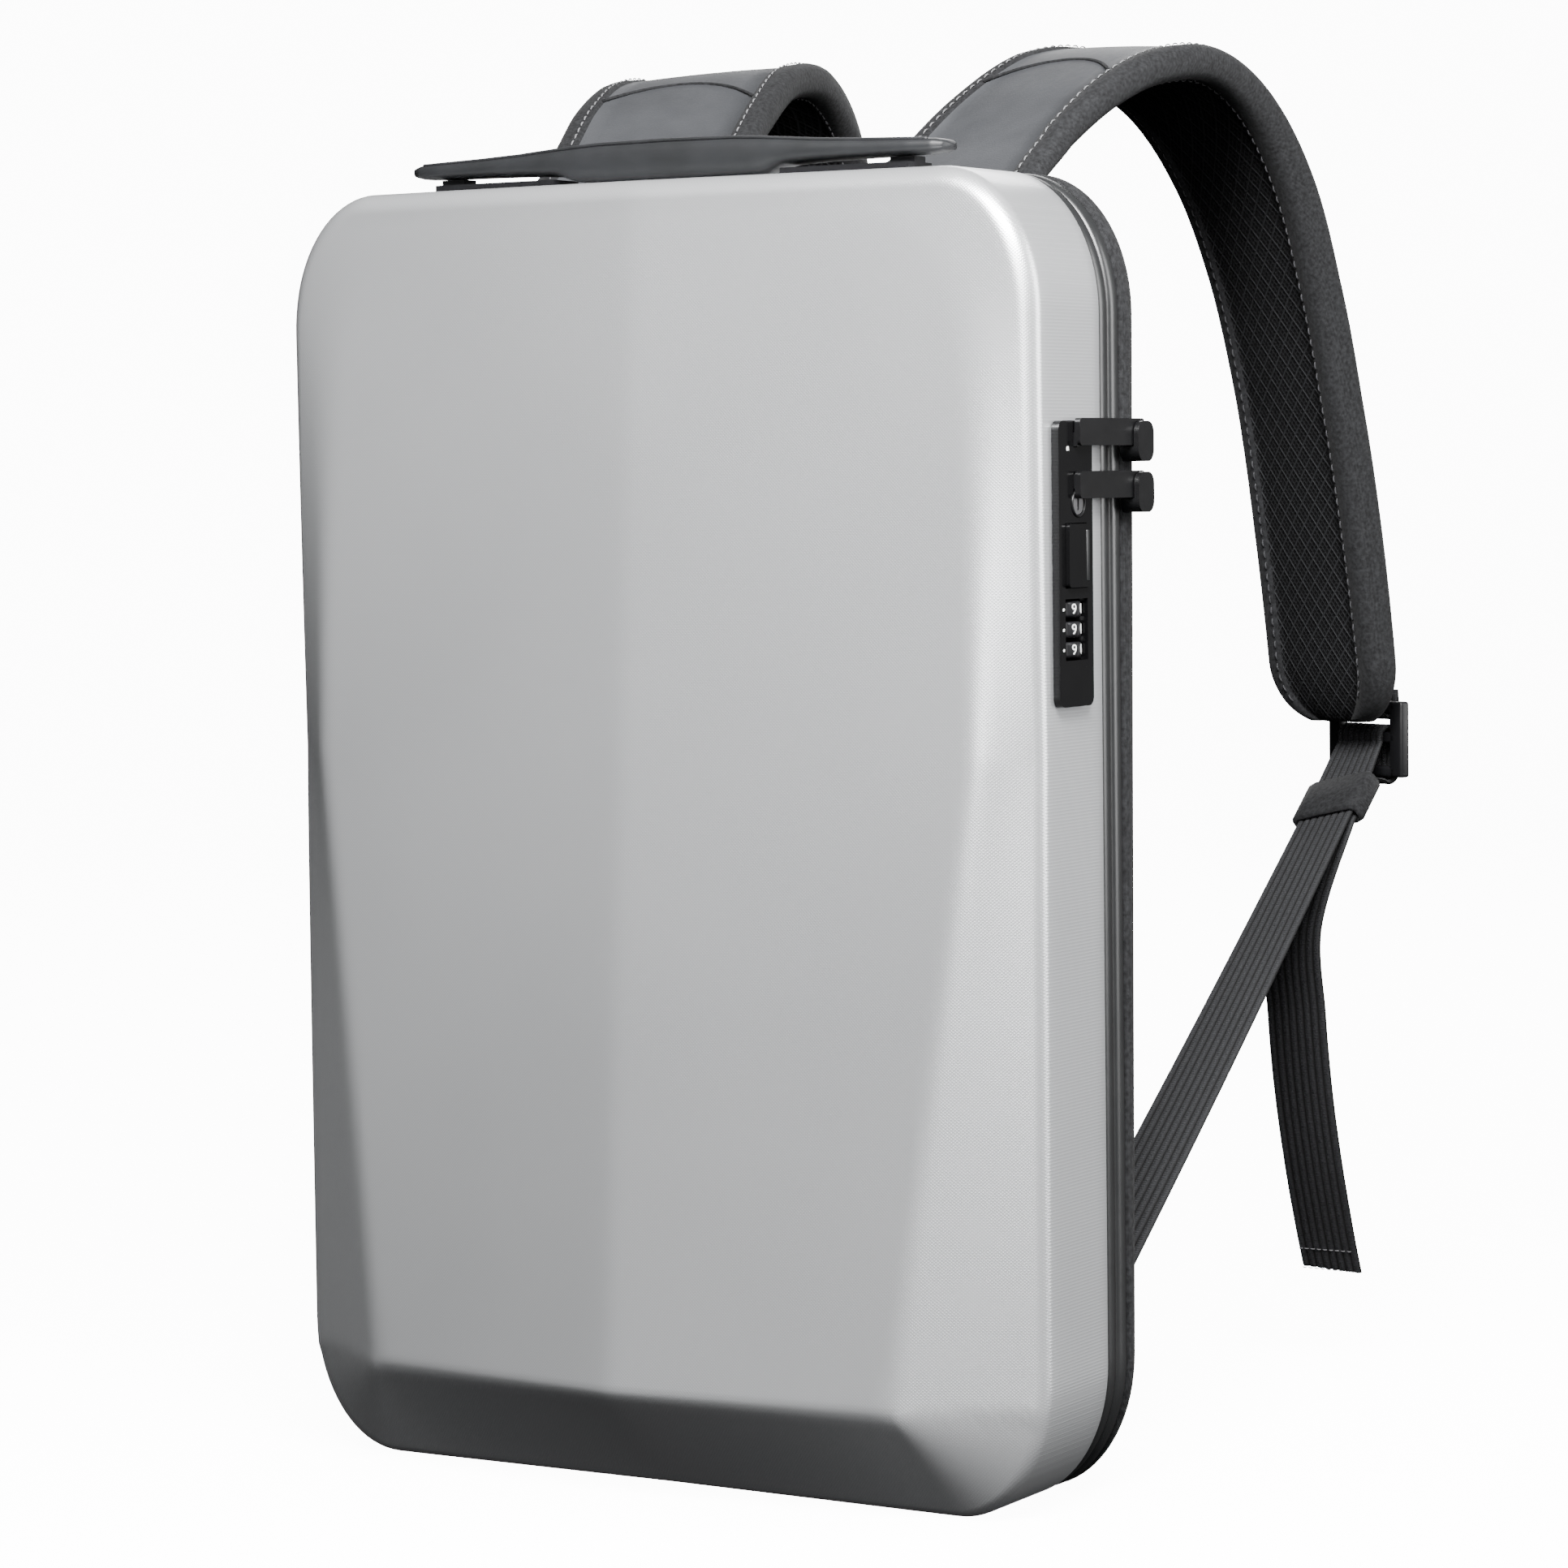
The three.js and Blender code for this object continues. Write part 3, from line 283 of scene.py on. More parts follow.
def outline_rows():
    """Each row gives the centre of an arc and the direction from it, once round the case."""
    rows = []
    across = HALF - CORNER_ACROSS
    low, high = CORNER_UP, HEIGHT - CORNER_UP

    def run(steps, start, end, direction):
        for k in range(steps):
            share = k / steps
            rows.append((start[0] + (end[0] - start[0]) * share,
                         start[1] + (end[1] - start[1]) * share, *direction))

    def turn(x, z, quarter):
        for k in range(CORNER_STEPS):
            angle = (quarter + k / CORNER_STEPS) * math.pi / 2
            rows.append((x, z, math.cos(angle), math.sin(angle)))

    run(SIDE_STEPS, (across, low), (across, high), (1, 0))
    turn(across, high, 0)
    run(TOP_STEPS, (across, high), (-across, high), (0, 1))
    turn(-across, high, 1)
    run(SIDE_STEPS, (-across, high), (-across, low), (-1, 0))
    turn(-across, low, 2)
    run(TOP_STEPS, (-across, low), (across, low), (0, -1))
    turn(across, low, 3)
    return rows


OUTLINE = outline_rows()
COUNT = len(OUTLINE)


def outline_point(row, inset, y):
    cx, cz, cos, sin = row
    return (cx + (CORNER_ACROSS - inset) * cos, y, cz + (CORNER_UP - inset) * sin)


def ring(inset, y):
    """The outline at an inset; y is a number or a function of x and z."""
    points = []
    for row in OUTLINE:
        x, _, z = outline_point(row, inset, 0)
        points.append((x, y(x, z) if callable(y) else y, z))
    return points


def ring_faces(rings, count, closed_rings=False):
    faces = []
    for r in range(rings if closed_rings else rings - 1):
        a, b = r * count, (r + 1) % rings * count
        for i in range(count):
            j = (i + 1) % count
            faces.append((a + i, a + j, b + j, b + i))
    return faces


def end_faces(rings, count):
    """Both end caps of an open row of rings."""
    return [tuple(range(count)), tuple(range((rings - 1) * count, rings * count))]


def ring_object(name, rings, material, body="case", closed=False):
    """A surface through rings of points, closed to a loop or else with capped ends."""
    count = len(rings[0])
    faces = ring_faces(len(rings), count, closed)
    if not closed:
        faces += end_faces(len(rings), count)
    return mesh_object(name, [p for one in rings for p in one], faces, material, body)


def circle(count):
    """The cosines and sines of evenly spread angles."""
    angles = [k / count * math.tau for k in range(count)]
    return [(math.cos(angle), math.sin(angle)) for angle in angles]


def back_plane(z):
    return BACK_Y_FOOT + (BACK_Y_TOP - BACK_Y_FOOT) * z / HEIGHT


# Front shell

def panel_rise(x, z):
    """How far the front panel stands out of the border plane, with a softened ridge."""
    share = min(max((z - PANEL_FOOT_Z) / (RIDGE_HEAD_Z - PANEL_FOOT_Z), 0), 1)
    off = math.hypot(x, RIDGE_SOFT)
    foot = RIDGE_FOOT_RISE + (PANEL_CORNER_RISE - RIDGE_FOOT_RISE) * off / PANEL_HALF
    head = RIDGE_HEAD_RISE * (1 - off / HALF)
    return max(0.0, foot + (head - foot) * share)


def soft_min(a, b, reach):
    """The lower of two heights, rounded over where they are closer than reach."""
    near = max(reach - abs(a - b), 0) / reach
    return min(a, b) - near * near * reach / 4


SEARCH_STEPS = 24


def corner_share(x, z):
    """From the panel's lower corner, 0, to the border's rounded corner, 1."""
    border_x, border_z = HALF - EDGE_ROUND, EDGE_ROUND
    round_x, round_z = CORNER_ACROSS - EDGE_ROUND, CORNER_UP - EDGE_ROUND
    low, high = 1e-4, 4.0
    for _ in range(SEARCH_STEPS):
        middle = (low + high) / 2
        px = PANEL_HALF + (x - PANEL_HALF) / middle
        pz = PANEL_FOOT_Z + (z - PANEL_FOOT_Z) / middle
        over_x = max(px - (border_x - round_x), 0) / round_x
        over_z = max(border_z + round_z - pz, 0) / round_z
        inside = px < border_x and pz > border_z and math.hypot(over_x, over_z) < 1
        low, high = (low, middle) if inside else (middle, high)
    return high


def facet_height(x, z):
    """How far the faceted face stands out of the border plane, with softened creases."""
    width = abs(x)
    border = HALF - EDGE_ROUND
    share = min(max((z - PANEL_FOOT_Z) / (PANEL_SIDE_TOP_Z - PANEL_FOOT_Z), 0), 1)
    edge = min(PANEL_HALF + (HALF - PANEL_HALF) * share, border - SIDE_FACET_LEAST)
    panel = panel_rise(x, z)
    if width > PANEL_HALF and z < PANEL_FOOT_Z:
        bevel = panel_rise(PANEL_HALF, PANEL_FOOT_Z) * (1 - corner_share(width, z))
        return soft_min(panel, bevel, CREASE_SOFT)
    side = (border - width) / (border - edge) * panel_rise(edge, z)
    foot = (z - EDGE_ROUND) / (PANEL_FOOT_Z - EDGE_ROUND) * panel_rise(x, PANEL_FOOT_Z)
    return soft_min(soft_min(panel, side, CREASE_SOFT), foot, CREASE_SOFT)


def coons_grid(loop):
    """A grid of x, z places inside the closed loop, whose four corners are the arcs' middles."""
    half = CORNER_STEPS // 2
    tall = SIDE_STEPS + CORNER_STEPS
    wide = TOP_STEPS + CORNER_STEPS
    start = -half

    def at(k):
        return np.array(loop[k % COUNT])

    right = [at(start + k) for k in range(tall + 1)]
    top = [at(start + tall + k) for k in range(wide + 1)][::-1]
    left = [at(start + tall + wide + k) for k in range(tall + 1)][::-1]
    bottom = [at(start + 2 * tall + wide + k) for k in range(wide + 1)]
    grid = np.zeros((tall + 1, wide + 1, 2))
    index = -np.ones((tall + 1, wide + 1), int)
    for i in range(tall + 1):
        v = i / tall
        for j in range(wide + 1):
            u = j / wide
            corners = ((1 - u) * (1 - v) * bottom[0] + u * (1 - v) * bottom[-1]
                       + (1 - u) * v * top[0] + u * v * top[-1])
            grid[i, j] = ((1 - u) * left[i] + u * right[i]
                          + (1 - v) * bottom[j] + v * top[j] - corners)
    for i in range(tall + 1):
        index[i, wide] = (start + i) % COUNT
        index[i, 0] = (start + 2 * tall + wide - i) % COUNT
    for j in range(wide + 1):
        index[tall, j] = (start + tall + wide - j) % COUNT
        index[0, j] = (start + 2 * tall + wide + j) % COUNT
    return grid, index


SHELL_INNER = 0.0045
RIM_ROUND = 0.0008
RIM_STEPS = 3
RIM_ROWS = ((SHELL_INNER, 0.0006), (0.0014, 0.0002))
WALL_RINGS = 8
ROUND_RINGS = 12
FACE_RINGS = 12
FACE_REACH = 0.034
FACE_AIM_X = 0.8
FACE_AIM_Z = 0.16
PROBE = 0.0006


def edge_round(row):
    """The rounding between side wall and face: its centre's height, last angle and insets."""
    heights = []
    for inset in (EDGE_ROUND, EDGE_ROUND + PROBE):
        x, _, z = outline_point(row, inset, 0)
        heights.append(facet_height(x, z))
    slope = (heights[1] - heights[0]) / PROBE
    last = math.pi / 2 - math.atan(slope)
    inset = EDGE_ROUND * (1 - math.cos(last))
    height = heights[0] + slope * (inset - EDGE_ROUND)
    return height - EDGE_ROUND * math.sin(last), last, inset


def front_shell():
    """The silver shell: side wall, rounded edge and one continuous faceted face."""
    rounds = [edge_round(row) for row in OUTLINE]
    rings = [ring(inset, RIM_Y - drop) for inset, drop in RIM_ROWS]
    for k in range(RIM_STEPS + 1):
        angle = k / RIM_STEPS * math.pi / 2
        inset = RIM_ROUND * (1 - math.sin(angle))
        rings.append(ring(inset, RIM_Y - RIM_ROUND * (1 - math.cos(angle))))
    for k in range(1, WALL_RINGS + 1):
        share = k / WALL_RINGS
        start = RIM_Y - RIM_ROUND
        rings.append([outline_point(row, 0, start + (BORDER_Y - centre - start) * share)
                      for row, (centre, _, _) in zip(OUTLINE, rounds)])
    for k in range(1, ROUND_RINGS + 1):
        one = []
        for row, (centre, last, _) in zip(OUTLINE, rounds):
            angle = last * k / ROUND_RINGS
            inset = EDGE_ROUND * (1 - math.cos(angle))
            one.append(outline_point(row, inset, BORDER_Y - centre - EDGE_ROUND * math.sin(angle)))
        rings.append(one)
    for k in range(1, FACE_RINGS + 1):
        rings.append([face_point(row, inset, k / FACE_RINGS)
                      for row, (_, _, inset) in zip(OUTLINE, rounds)])
    points = [p for one in rings for p in one]
    faces = ring_faces(len(rings), COUNT)
    start = (len(rings) - 1) * COUNT
    fill_inside(points, faces, start, lambda x, z: BORDER_Y - facet_height(x, z))
    return mesh_object("shell_front", points, faces, SILVER)


def face_point(row, inset, share):
    """A point of the face, a share of the way from the rounded edge inwards."""
    x0, _, z0 = outline_point(row, inset, 0)
    aim_x, aim_z = row[0] * FACE_AIM_X, row[1] + (HEIGHT / 2 - row[1]) * FACE_AIM_Z
    way = Vector((aim_x - x0, aim_z - z0)).normalized()
    x, z = x0 + way.x * FACE_REACH * share, z0 + way.y * FACE_REACH * share
    return x, BORDER_Y - facet_height(x, z), z


def fill_inside(points, faces, start, depth):
    """Fills the last ring, whose points begin at start, with a grid at the given depth."""
    grid, index = coons_grid([(p[0], p[2]) for p in points[start:start + COUNT]])
    tall, wide = grid.shape[0] - 1, grid.shape[1] - 1
    for i in range(tall + 1):
        for j in range(wide + 1):
            if index[i, j] >= 0:
                index[i, j] += start
                continue
            index[i, j] = len(points)
            x, z = grid[i, j]
            points.append((x, depth(x, z), z))
    for i in range(tall):
        for j in range(wide):
            faces.append((index[i, j], index[i, j + 1], index[i + 1, j + 1], index[i + 1, j]))


# Trim along the zip

BAND_DEPTH = 0.007
BAND_FRONT_Y = RIM_Y + GAP
BAND_REAR_Y = BAND_FRONT_Y + BAND_DEPTH + GAP
BODY_Y = BAND_REAR_Y + BAND_DEPTH + GAP
CORD_STEPS = 12
CORD_INSET = 0.0026
CORD_ROUNDNESS = 0.6
TOOTH_INSET = 0.0036
TOOTH_PITCH = 0.0018
TOOTH_SIZE = (TOOTH_PITCH * 0.55, 0.0034, 0.0016)


def zip_band(name, start, proud):
    """A piping rib: a closed ring, flat inside and round like a cord outside."""
    section = [(SHELL_INNER, start + BAND_DEPTH), (SHELL_INNER, start)]
    for k in range(CORD_STEPS + 1):
        angle = k / CORD_STEPS * math.pi
        inset = CORD_INSET * (1 - math.sin(angle) ** CORD_ROUNDNESS) + proud
        section.append((inset, start + BAND_DEPTH * (1 - math.cos(angle)) / 2))
    return ring_object(name, [ring(inset, y) for inset, y in section], PIPING, closed=True)


def box_part(centre, size, ways):
    """Points and faces of a small box with its own directions."""
    points = []
    for sx in (-0.5, 0.5):
        for sy in (-0.5, 0.5):
            for sz in (-0.5, 0.5):
                offset = ways[0] * (sx * size[0]) + ways[1] * (sy * size[1]) + ways[2] * (sz * size[2])
                points.append(tuple(Vector(centre) + offset))
    faces = [(0, 1, 3, 2), (4, 6, 7, 5), (0, 4, 5, 1), (2, 3, 7, 6), (0, 2, 6, 4), (1, 5, 7, 3)]
    return points, faces


def along_outline(inset, y, pitch):
    """Places and directions at an even pitch along the outline."""
    loop = [Vector(p) for p in ring(inset, y)]
    spots, left = [], 0.0
    for a, b in zip(loop, loop[1:] + loop[:1]):
        length = (b - a).length
        while left < length:
            spots.append((a.lerp(b, left / length), (b - a).normalized()))
            left += pitch
        left -= length
    return spots


def zip_teeth():
    parts = []
    deep = Vector((0, 1, 0))
    for at, along in along_outline(TOOTH_INSET, BAND_REAR_Y - GAP / 2, TOOTH_PITCH):
        ways = (along, deep, along.cross(deep))
        parts.append(box_part(at, TOOTH_SIZE, ways))
    return merged("zip_teeth", parts, PLASTIC)


STITCH_SIDES = 6
STITCH_RINGS = 5


def stitches(name, places, ups, material, length=0.0028, pitch=0.0042, thick=0.0006):
    """A row of short raised stitches along a path; ups are the surface's directions there."""
    parts, left = [], 0.0
    faces = ring_faces(STITCH_RINGS, STITCH_SIDES) + end_faces(STITCH_RINGS, STITCH_SIDES)
    for k in range(len(places) - 1):
        a, b = Vector(places[k]), Vector(places[k + 1])
        gap = (b - a).length
        along = (b - a).normalized()
        while left < gap:
            share = left / gap
            up = Vector(ups[k]).lerp(Vector(ups[k + 1]), share).normalized()
            side = along.cross(up).normalized()
            points = []
            for s in range(STITCH_RINGS):
                t = s / (STITCH_RINGS - 1)
                lift = math.sin(t * math.pi) * thick * 0.5
                width = thick * (0.35 + 0.65 * math.sin(math.pi * (0.12 + 0.76 * t)))
                middle = a.lerp(b, share) + along * ((t - 0.5) * length) + up * lift
                for cos, sin in circle(STITCH_SIDES):
                    offset = side * (cos * width * 0.5) + up * (sin * width * 0.4)
                    points.append(tuple(middle + offset))
            parts.append((points, faces))
            left += pitch
        left -= gap
    return merged(name, parts, material)


BODY_RIM = ((0.004, 0.0002), (0.0009, 0.0003), (0.0002, 0.0012))
BODY_SEWN = ((0.0095, -0.0005), (0.0105, -0.0006), (0.012, 0.0002), (0.016, 0.0004))
BODY_STEPS = 12
BODY_CROWN = 0.0004
BODY_SEAM = 0.0135


def back_body():
    """The textile half: a wall, a rounded rear edge and a slightly crowned back."""
    rings = [ring(inset, BODY_Y + y) for inset, y in BODY_RIM]
    for k in range(BODY_STEPS + 1):
        angle = k / BODY_STEPS * math.pi / 2
        inset = BACK_ROUND * (1 - math.cos(angle))
        drop = BACK_ROUND * (1 - math.sin(angle))
        rings.append(ring(inset, lambda x, z, d=drop: back_plane(z) - d))
    for inset, lift in BODY_SEWN:
        rings.append(ring(inset, lambda x, z, d=lift: back_plane(z) + d))
    points = [p for one in rings for p in one]
    faces = ring_faces(len(rings), COUNT)
    fill_inside(points, faces, (len(rings) - 1) * COUNT, lambda x, z: back_plane(z) + BODY_CROWN)
    piece = mesh_object("body_back", points, faces, FABRIC)
    stands_for(piece, "back_body")
    seam = ring(BODY_SEAM, lambda x, z: back_plane(z) + BODY_CROWN)
    stitches("stitch_back_edge", seam + seam[:1], [(0, 1, 0)] * (COUNT + 1), DARK_THREAD)


# Back pad

PAD_LOW, PAD_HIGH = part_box("back_pad")
PAD_CHANNELS = 3
PAD_INSET = 0.003
PAD_CORNER = 0.022
PAD_THICK = 0.0075
PAD_SWELL = 0.003
PAD_VOXEL = 0.0042
PAD_PRESSURE = 4
PAD_FRAMES = 20
PAD_HELD = 0.0015
PAD_BINDING = 0.0021
PAD_BINDING_OUT = 0.0008
PAD_BINDING_LIFT = 0.0028
CHANNEL_LEAST = 0.003
CHANNEL_BOW = 0.025
CHANNEL_REACH = 0.0035
CHANNEL_DEPTH = 0.0035
CHANNEL_FLOOR = 0.001


def back_pad():
    """A crowned cushion with sewn channels, swollen by a cloth simulation."""
    half = PAD_HIGH.x - PAD_INSET
    low, high = PAD_LOW.z + PAD_INSET, PAD_HIGH.z - PAD_INSET
    middle, tall = (low + high) / 2, (high - low) / 2

    def spot(layer, u, v):
        x, z = rounded_square(u, v, half, tall, PAD_CORNER)
        z += middle
        lift = PAD_THICK * ((1 - abs(u) ** 8) * (1 - abs(v) ** 14)) ** 0.5 * layer
        return x, back_plane(z) + GAP * 2 + lift, z

    pad = mesh_object("pad_back", *cushion(60, 112, spot), NET)
    swell(pad)
    press_channels(pad)
    stands_for(pad, "back_pad")
    rim = []
    for k in range(240):
        angle = k / 240 * math.tau
        x, z = rounded_loop(angle, half + PAD_BINDING_OUT, tall + PAD_BINDING_OUT, PAD_CORNER)
        rim.append((x, back_plane(z + middle) + PAD_BINDING_LIFT, z + middle))
    tube("pad_binding", rim, PAD_BINDING, BINDING, closed=True)


def cushion(nx, nz, spot):
    """Two layers of a grid joined along the rim; spot gives the point for layer, u and v."""
    points = [spot(layer, j / nx * 2 - 1, i / nz * 2 - 1)
              for layer in (0, 1) for i in range(nz + 1) for j in range(nx + 1)]
    row = nx + 1
    size = row * (nz + 1)
    faces = []
    for i in range(nz):
        for j in range(nx):
            a = i * row + j
            faces.append((a, a + 1, a + row + 1, a + row))
            faces.append((size + a, size + a + row, size + a + row + 1, size + a + 1))
    rim = ([j for j in range(nx)] + [i * row + nx for i in range(nz)]
           + [nz * row + nx - j for j in range(nx)] + [(nz - i) * row for i in range(nz)])
    for a, b in zip(rim, rim[1:] + rim[:1]):
        faces.append((a, size + a, size + b, b))
    return points, faces


def round_corner(x, z, half, tall, corner, spread):
    """Draws a point of a rectangle's corner in to an arc; spread keeps its place across."""
    over_x, over_z = abs(x) - (half - corner), abs(z) - (tall - corner)
    if over_x > 0 and over_z > 0:
        reach = max(over_x, over_z) if spread else corner
        scale = reach / math.hypot(over_x, over_z)
        x = math.copysign(half - corner + over_x * scale, x)
        z = math.copysign(tall - corner + over_z * scale, z)
    return x, z


def rounded_square(u, v, half, tall, corner):
    """A point of a grid squeezed into a rectangle with rounded corners."""
    return round_corner(u * half, v * tall, half, tall, corner, True)


def rounded_loop(angle, half, tall, corner):
    """A point on a rounded rectangle's outline in the direction of an angle."""
    cos, sin = math.cos(angle), math.sin(angle)
    scale = 1 / max(abs(cos) / half, abs(sin) / tall)
    return round_corner(cos * scale, sin * scale, half, tall, corner, False)


def swell(piece):
    """Cloth with inner pressure; each point moves a limited way, and never forwards."""
    add_modifier(piece, "REMESH", mode="VOXEL", voxel_size=PAD_VOXEL)
    apply_modifiers(piece)
    before = np.array([v.co[:] for v in piece.data.vertices])
    held = piece.vertex_groups.new(name="held")
    for vertex in piece.data.vertices:
        if vertex.co.y < back_plane(vertex.co.z) + PAD_HELD:
            held.add([vertex.index], 1.0, "REPLACE")
    cloth = add_modifier(piece, "CLOTH")
    cloth.settings.use_pressure = True
    cloth.settings.uniform_pressure_force = PAD_PRESSURE
    cloth.settings.vertex_group_mass = "held"
    cloth.settings.effector_weights.gravity = 0
    for step in range(1, PAD_FRAMES + 1):
        bpy.context.scene.frame_set(step)
    apply_modifiers(piece)
    after = np.array([v.co[:] for v in piece.data.vertices])
    move = after - before
    length = np.linalg.norm(move, axis=1, keepdims=True)
    move *= np.minimum(1.0, PAD_SWELL / np.maximum(length, 1e-9))
    final = before + move
    final[:, 1] = np.maximum(final[:, 1], before[:, 1])
    for vertex, place in zip(piece.data.vertices, final):
        vertex.co = place
    bpy.context.scene.frame_set(1)
    piece.data.polygons.foreach_set("use_smooth", [True] * len(piece.data.polygons))


def apply_modifiers(piece):
    depsgraph = bpy.context.evaluated_depsgraph_get()
    made = bpy.data.meshes.new_from_object(piece.evaluated_get(depsgraph), depsgraph=depsgraph)
    materials = list(piece.data.materials)
    old = piece.data
    piece.modifiers.clear()
    piece.data = made
    made.materials.clear()
    for material in materials:
        made.materials.append(material)
    bpy.data.meshes.remove(old)


def press_channels(piece):
    """Sewn channels across the pad, pressed into its outer face."""
    low, high = PAD_LOW.z, PAD_HIGH.z
    for vertex in piece.data.vertices:
        x, y, z = vertex.co
        lift = y - back_plane(z) - GAP
        if lift < CHANNEL_LEAST:
            continue
        depth = 0.0
        for k in range(1, PAD_CHANNELS + 1):
            middle = low + (high - low) * k / (PAD_CHANNELS + 1) - CHANNEL_BOW * abs(x)
            depth = max(depth, math.exp(-((z - middle) / CHANNEL_REACH) ** 2))
        vertex.co.y -= depth * min(lift - CHANNEL_FLOOR, CHANNEL_DEPTH)


# Tubes and ribbons

def tube(name, places, radius, material, closed=False, sides=10, up=(0, 1, 0)):
    """A round tube along places, with its ends closed if it is open."""
    count = len(places)
    rings = []
    for k, place in enumerate(places):
        before = Vector(places[(k - 1) % count if closed else max(k - 1, 0)])
        after = Vector(places[(k + 1) % count if closed else min(k + 1, count - 1)])
        along = (after - before).normalized()
        side = along.cross(Vector(up)).normalized() * radius
        rise = side.cross(along).normalized() * radius
        rings.append([Vector(place) + side * cos + rise * sin for cos, sin in circle(sides)])
    return ring_object(name, rings, material, closed=closed)


class Curve:
    """A centripetal Catmull-Rom curve through points, as the frame's straps follow."""

    def __init__(self, points):
        self.points = [Vector(p) for p in points]

    def at(self, t):
        points = self.points
        place = t * (len(points) - 1)
        k = min(int(place), len(points) - 2)
        weight = place - k
        p1, p2 = points[k], points[k + 1]
        p0 = points[k - 1] if k > 0 else p1 * 2 - p2
        p3 = points[k + 2] if k + 2 < len(points) else p2 * 2 - p1
        d0, d1, d2 = (math.sqrt((b - a).length) for a, b in ((p0, p1), (p1, p2), (p2, p3)))
        t1 = (p1 - p0) / d0 - (p2 - p0) / (d0 + d1) + (p2 - p1) / d1
        t2 = (p2 - p1) / d1 - (p3 - p1) / (d1 + d2) + (p3 - p2) / d2
        t1, t2 = t1 * d1, t2 * d1
        a = p1 * 2 - p2 * 2 + t1 + t2
        b = p2 * 3 - p1 * 3 - t1 * 2 - t2
        return ((a * weight + b) * weight + t1) * weight + p1

    def tangent(self, t):
        step = 0.0001
        return (self.at(min(t + step, 1)) - self.at(max(t - step, 0))).normalized()


RIBS = 8
RIB_DEPTH = 0.00045
RIBBON_SPOTS = 49
RIBBON_EDGE = 0.06
BELT_WIDTH = 0.025
BELT_THICK = 0.0016


def ribbon(name, rows):
    """A ribbed band along rows of (place, across, out or None), and its outward directions."""
    spots = [s / (RIBBON_SPOTS - 1) * 2 - 1 for s in range(RIBBON_SPOTS)]
    grooves = [(0.5 + 0.5 * math.cos(u * math.pi * RIBS)) ** 3 for u in spots]
    thin = [max(0, abs(u) - 1 + RIBBON_EDGE) / RIBBON_EDGE * 0.5 for u in spots]
    face = [(u, BELT_THICK / 2 * (1 - edge) - RIB_DEPTH * groove)
            for u, edge, groove in zip(spots, thin, grooves)]
    rings, ups = [], []
    for k, (at, across, fixed) in enumerate(rows):
        before = rows[max(k - 1, 0)][0]
        after = rows[min(k + 1, len(rows) - 1)][0]
        along = (after - before).normalized()
        flat = across.copy()
        if fixed is None:
            flat -= along * across.dot(along)
        flat.normalize()
        out = flat.cross(along).normalized()
        if fixed is not None:
            out = fixed * (1 if fixed.dot(out) > 0 else -1)
        ups.append(out)
        upper = [at + flat * (u * BELT_WIDTH / 2) + out * lift for u, lift in face]
        lower = [at + flat * (u * BELT_WIDTH / 2) - out * lift for u, lift in face[::-1]]
        rings.append(upper + lower)
    piece = ring_object(name, rings, WEBBING)
    # the groove share is also kept on the mesh, where the webbing's material paints shade into the
    # grooves
    rib = piece.data.attributes.new("rib", "FLOAT", "POINT")
    rib.data.foreach_set("value", (grooves + grooves[::-1]) * len(rows))
    return piece, ups


# Shoulder straps: columns are across, back, up, yaw, roll, wide and thick, as shares

STRAP_WIDTH = 0.075
STRAP_THICK = 0.014
STRAP_REACH = 0.268
STRAP_END = 0.022
STRAP_STEPS = 150
BINDING_WIDTH = 0.0095
BINDING_SOFT = 0.0042
SKIN_SINK = 0.0007
NET_SINK = 0.0009
NET_CROWN = 0.0012
BINDING_RISE = 0.0002
BINDING_GAP = 0.0004
THREAD_LIFT = 0.0003
SEAM_PLACE = 0.27
SEAM_BOW = 0.035
STRAP_ROWS = (
    (0.458, 0.168, 0.921, 0, 0, 0.94, 0.4),
    (0.46, 0.172, 0.984, 0, 0, 0.96, 0.5),
    (0.467, 0.287, 1.037, -12, -2, 0.99, 0.64),
    (0.507, 0.388, 1.081, -15, 0, 1, 0.75),
    (0.556, 0.5, 1.112, -16, 3, 1, 0.82),
    (0.601, 0.627, 1.117, -19, 4, 0.99, 0.88),
    (0.649, 0.743, 1.086, -24, 4, 0.96, 0.94),
    (0.691, 0.836, 1.025, -27, 3.5, 0.93, 1),
    (0.722, 0.903, 0.94, -30, 2.5, 0.91, 1),
    (0.75, 0.948, 0.837, -30, 1.5, 0.88, 1),
    (0.771, 0.981, 0.726, -28, 1, 0.86, 1),
    (0.79, 1, 0.609, -25, 0, 0.82, 0.95),
    (0.795, 1.004, 0.56, -25, 0, 0.8, 0.86),
)


def strap_frames(side, steps=STRAP_STEPS):
    places = []
    for k, row in enumerate(STRAP_ROWS):
        z = row[2] * HEIGHT
        y = back_plane(z) + GAP if k < 2 else row[1] * STRAP_REACH
        places.append((row[0] * HALF, y, z))
    curve = Curve(places)
    flip = Vector((side, 1, 1))
    frames = []
    for step in range(steps + 1):
        share = step / steps * (len(STRAP_ROWS) - 1)
        k = min(int(share), len(STRAP_ROWS) - 2)
        mix = [a + (b - a) * (share - k) for a, b in zip(STRAP_ROWS[k], STRAP_ROWS[k + 1])]
        yaw, roll = math.radians(mix[3]), math.radians(mix[4])
        along = curve.tangent(step / steps)
        across = Vector((math.cos(yaw), math.sin(yaw), 0)) * math.cos(roll)
        across.z = -math.sin(roll)
        across = (across - along * across.dot(along)).normalized()
        out = across.cross(along).normalized()
        frames.append({
            "at": curve.at(step / steps) * flip, "across": across * flip, "out": out * flip,
            "wide": mix[5] * STRAP_WIDTH, "thick": mix[6] * STRAP_THICK,
        })
    return frames


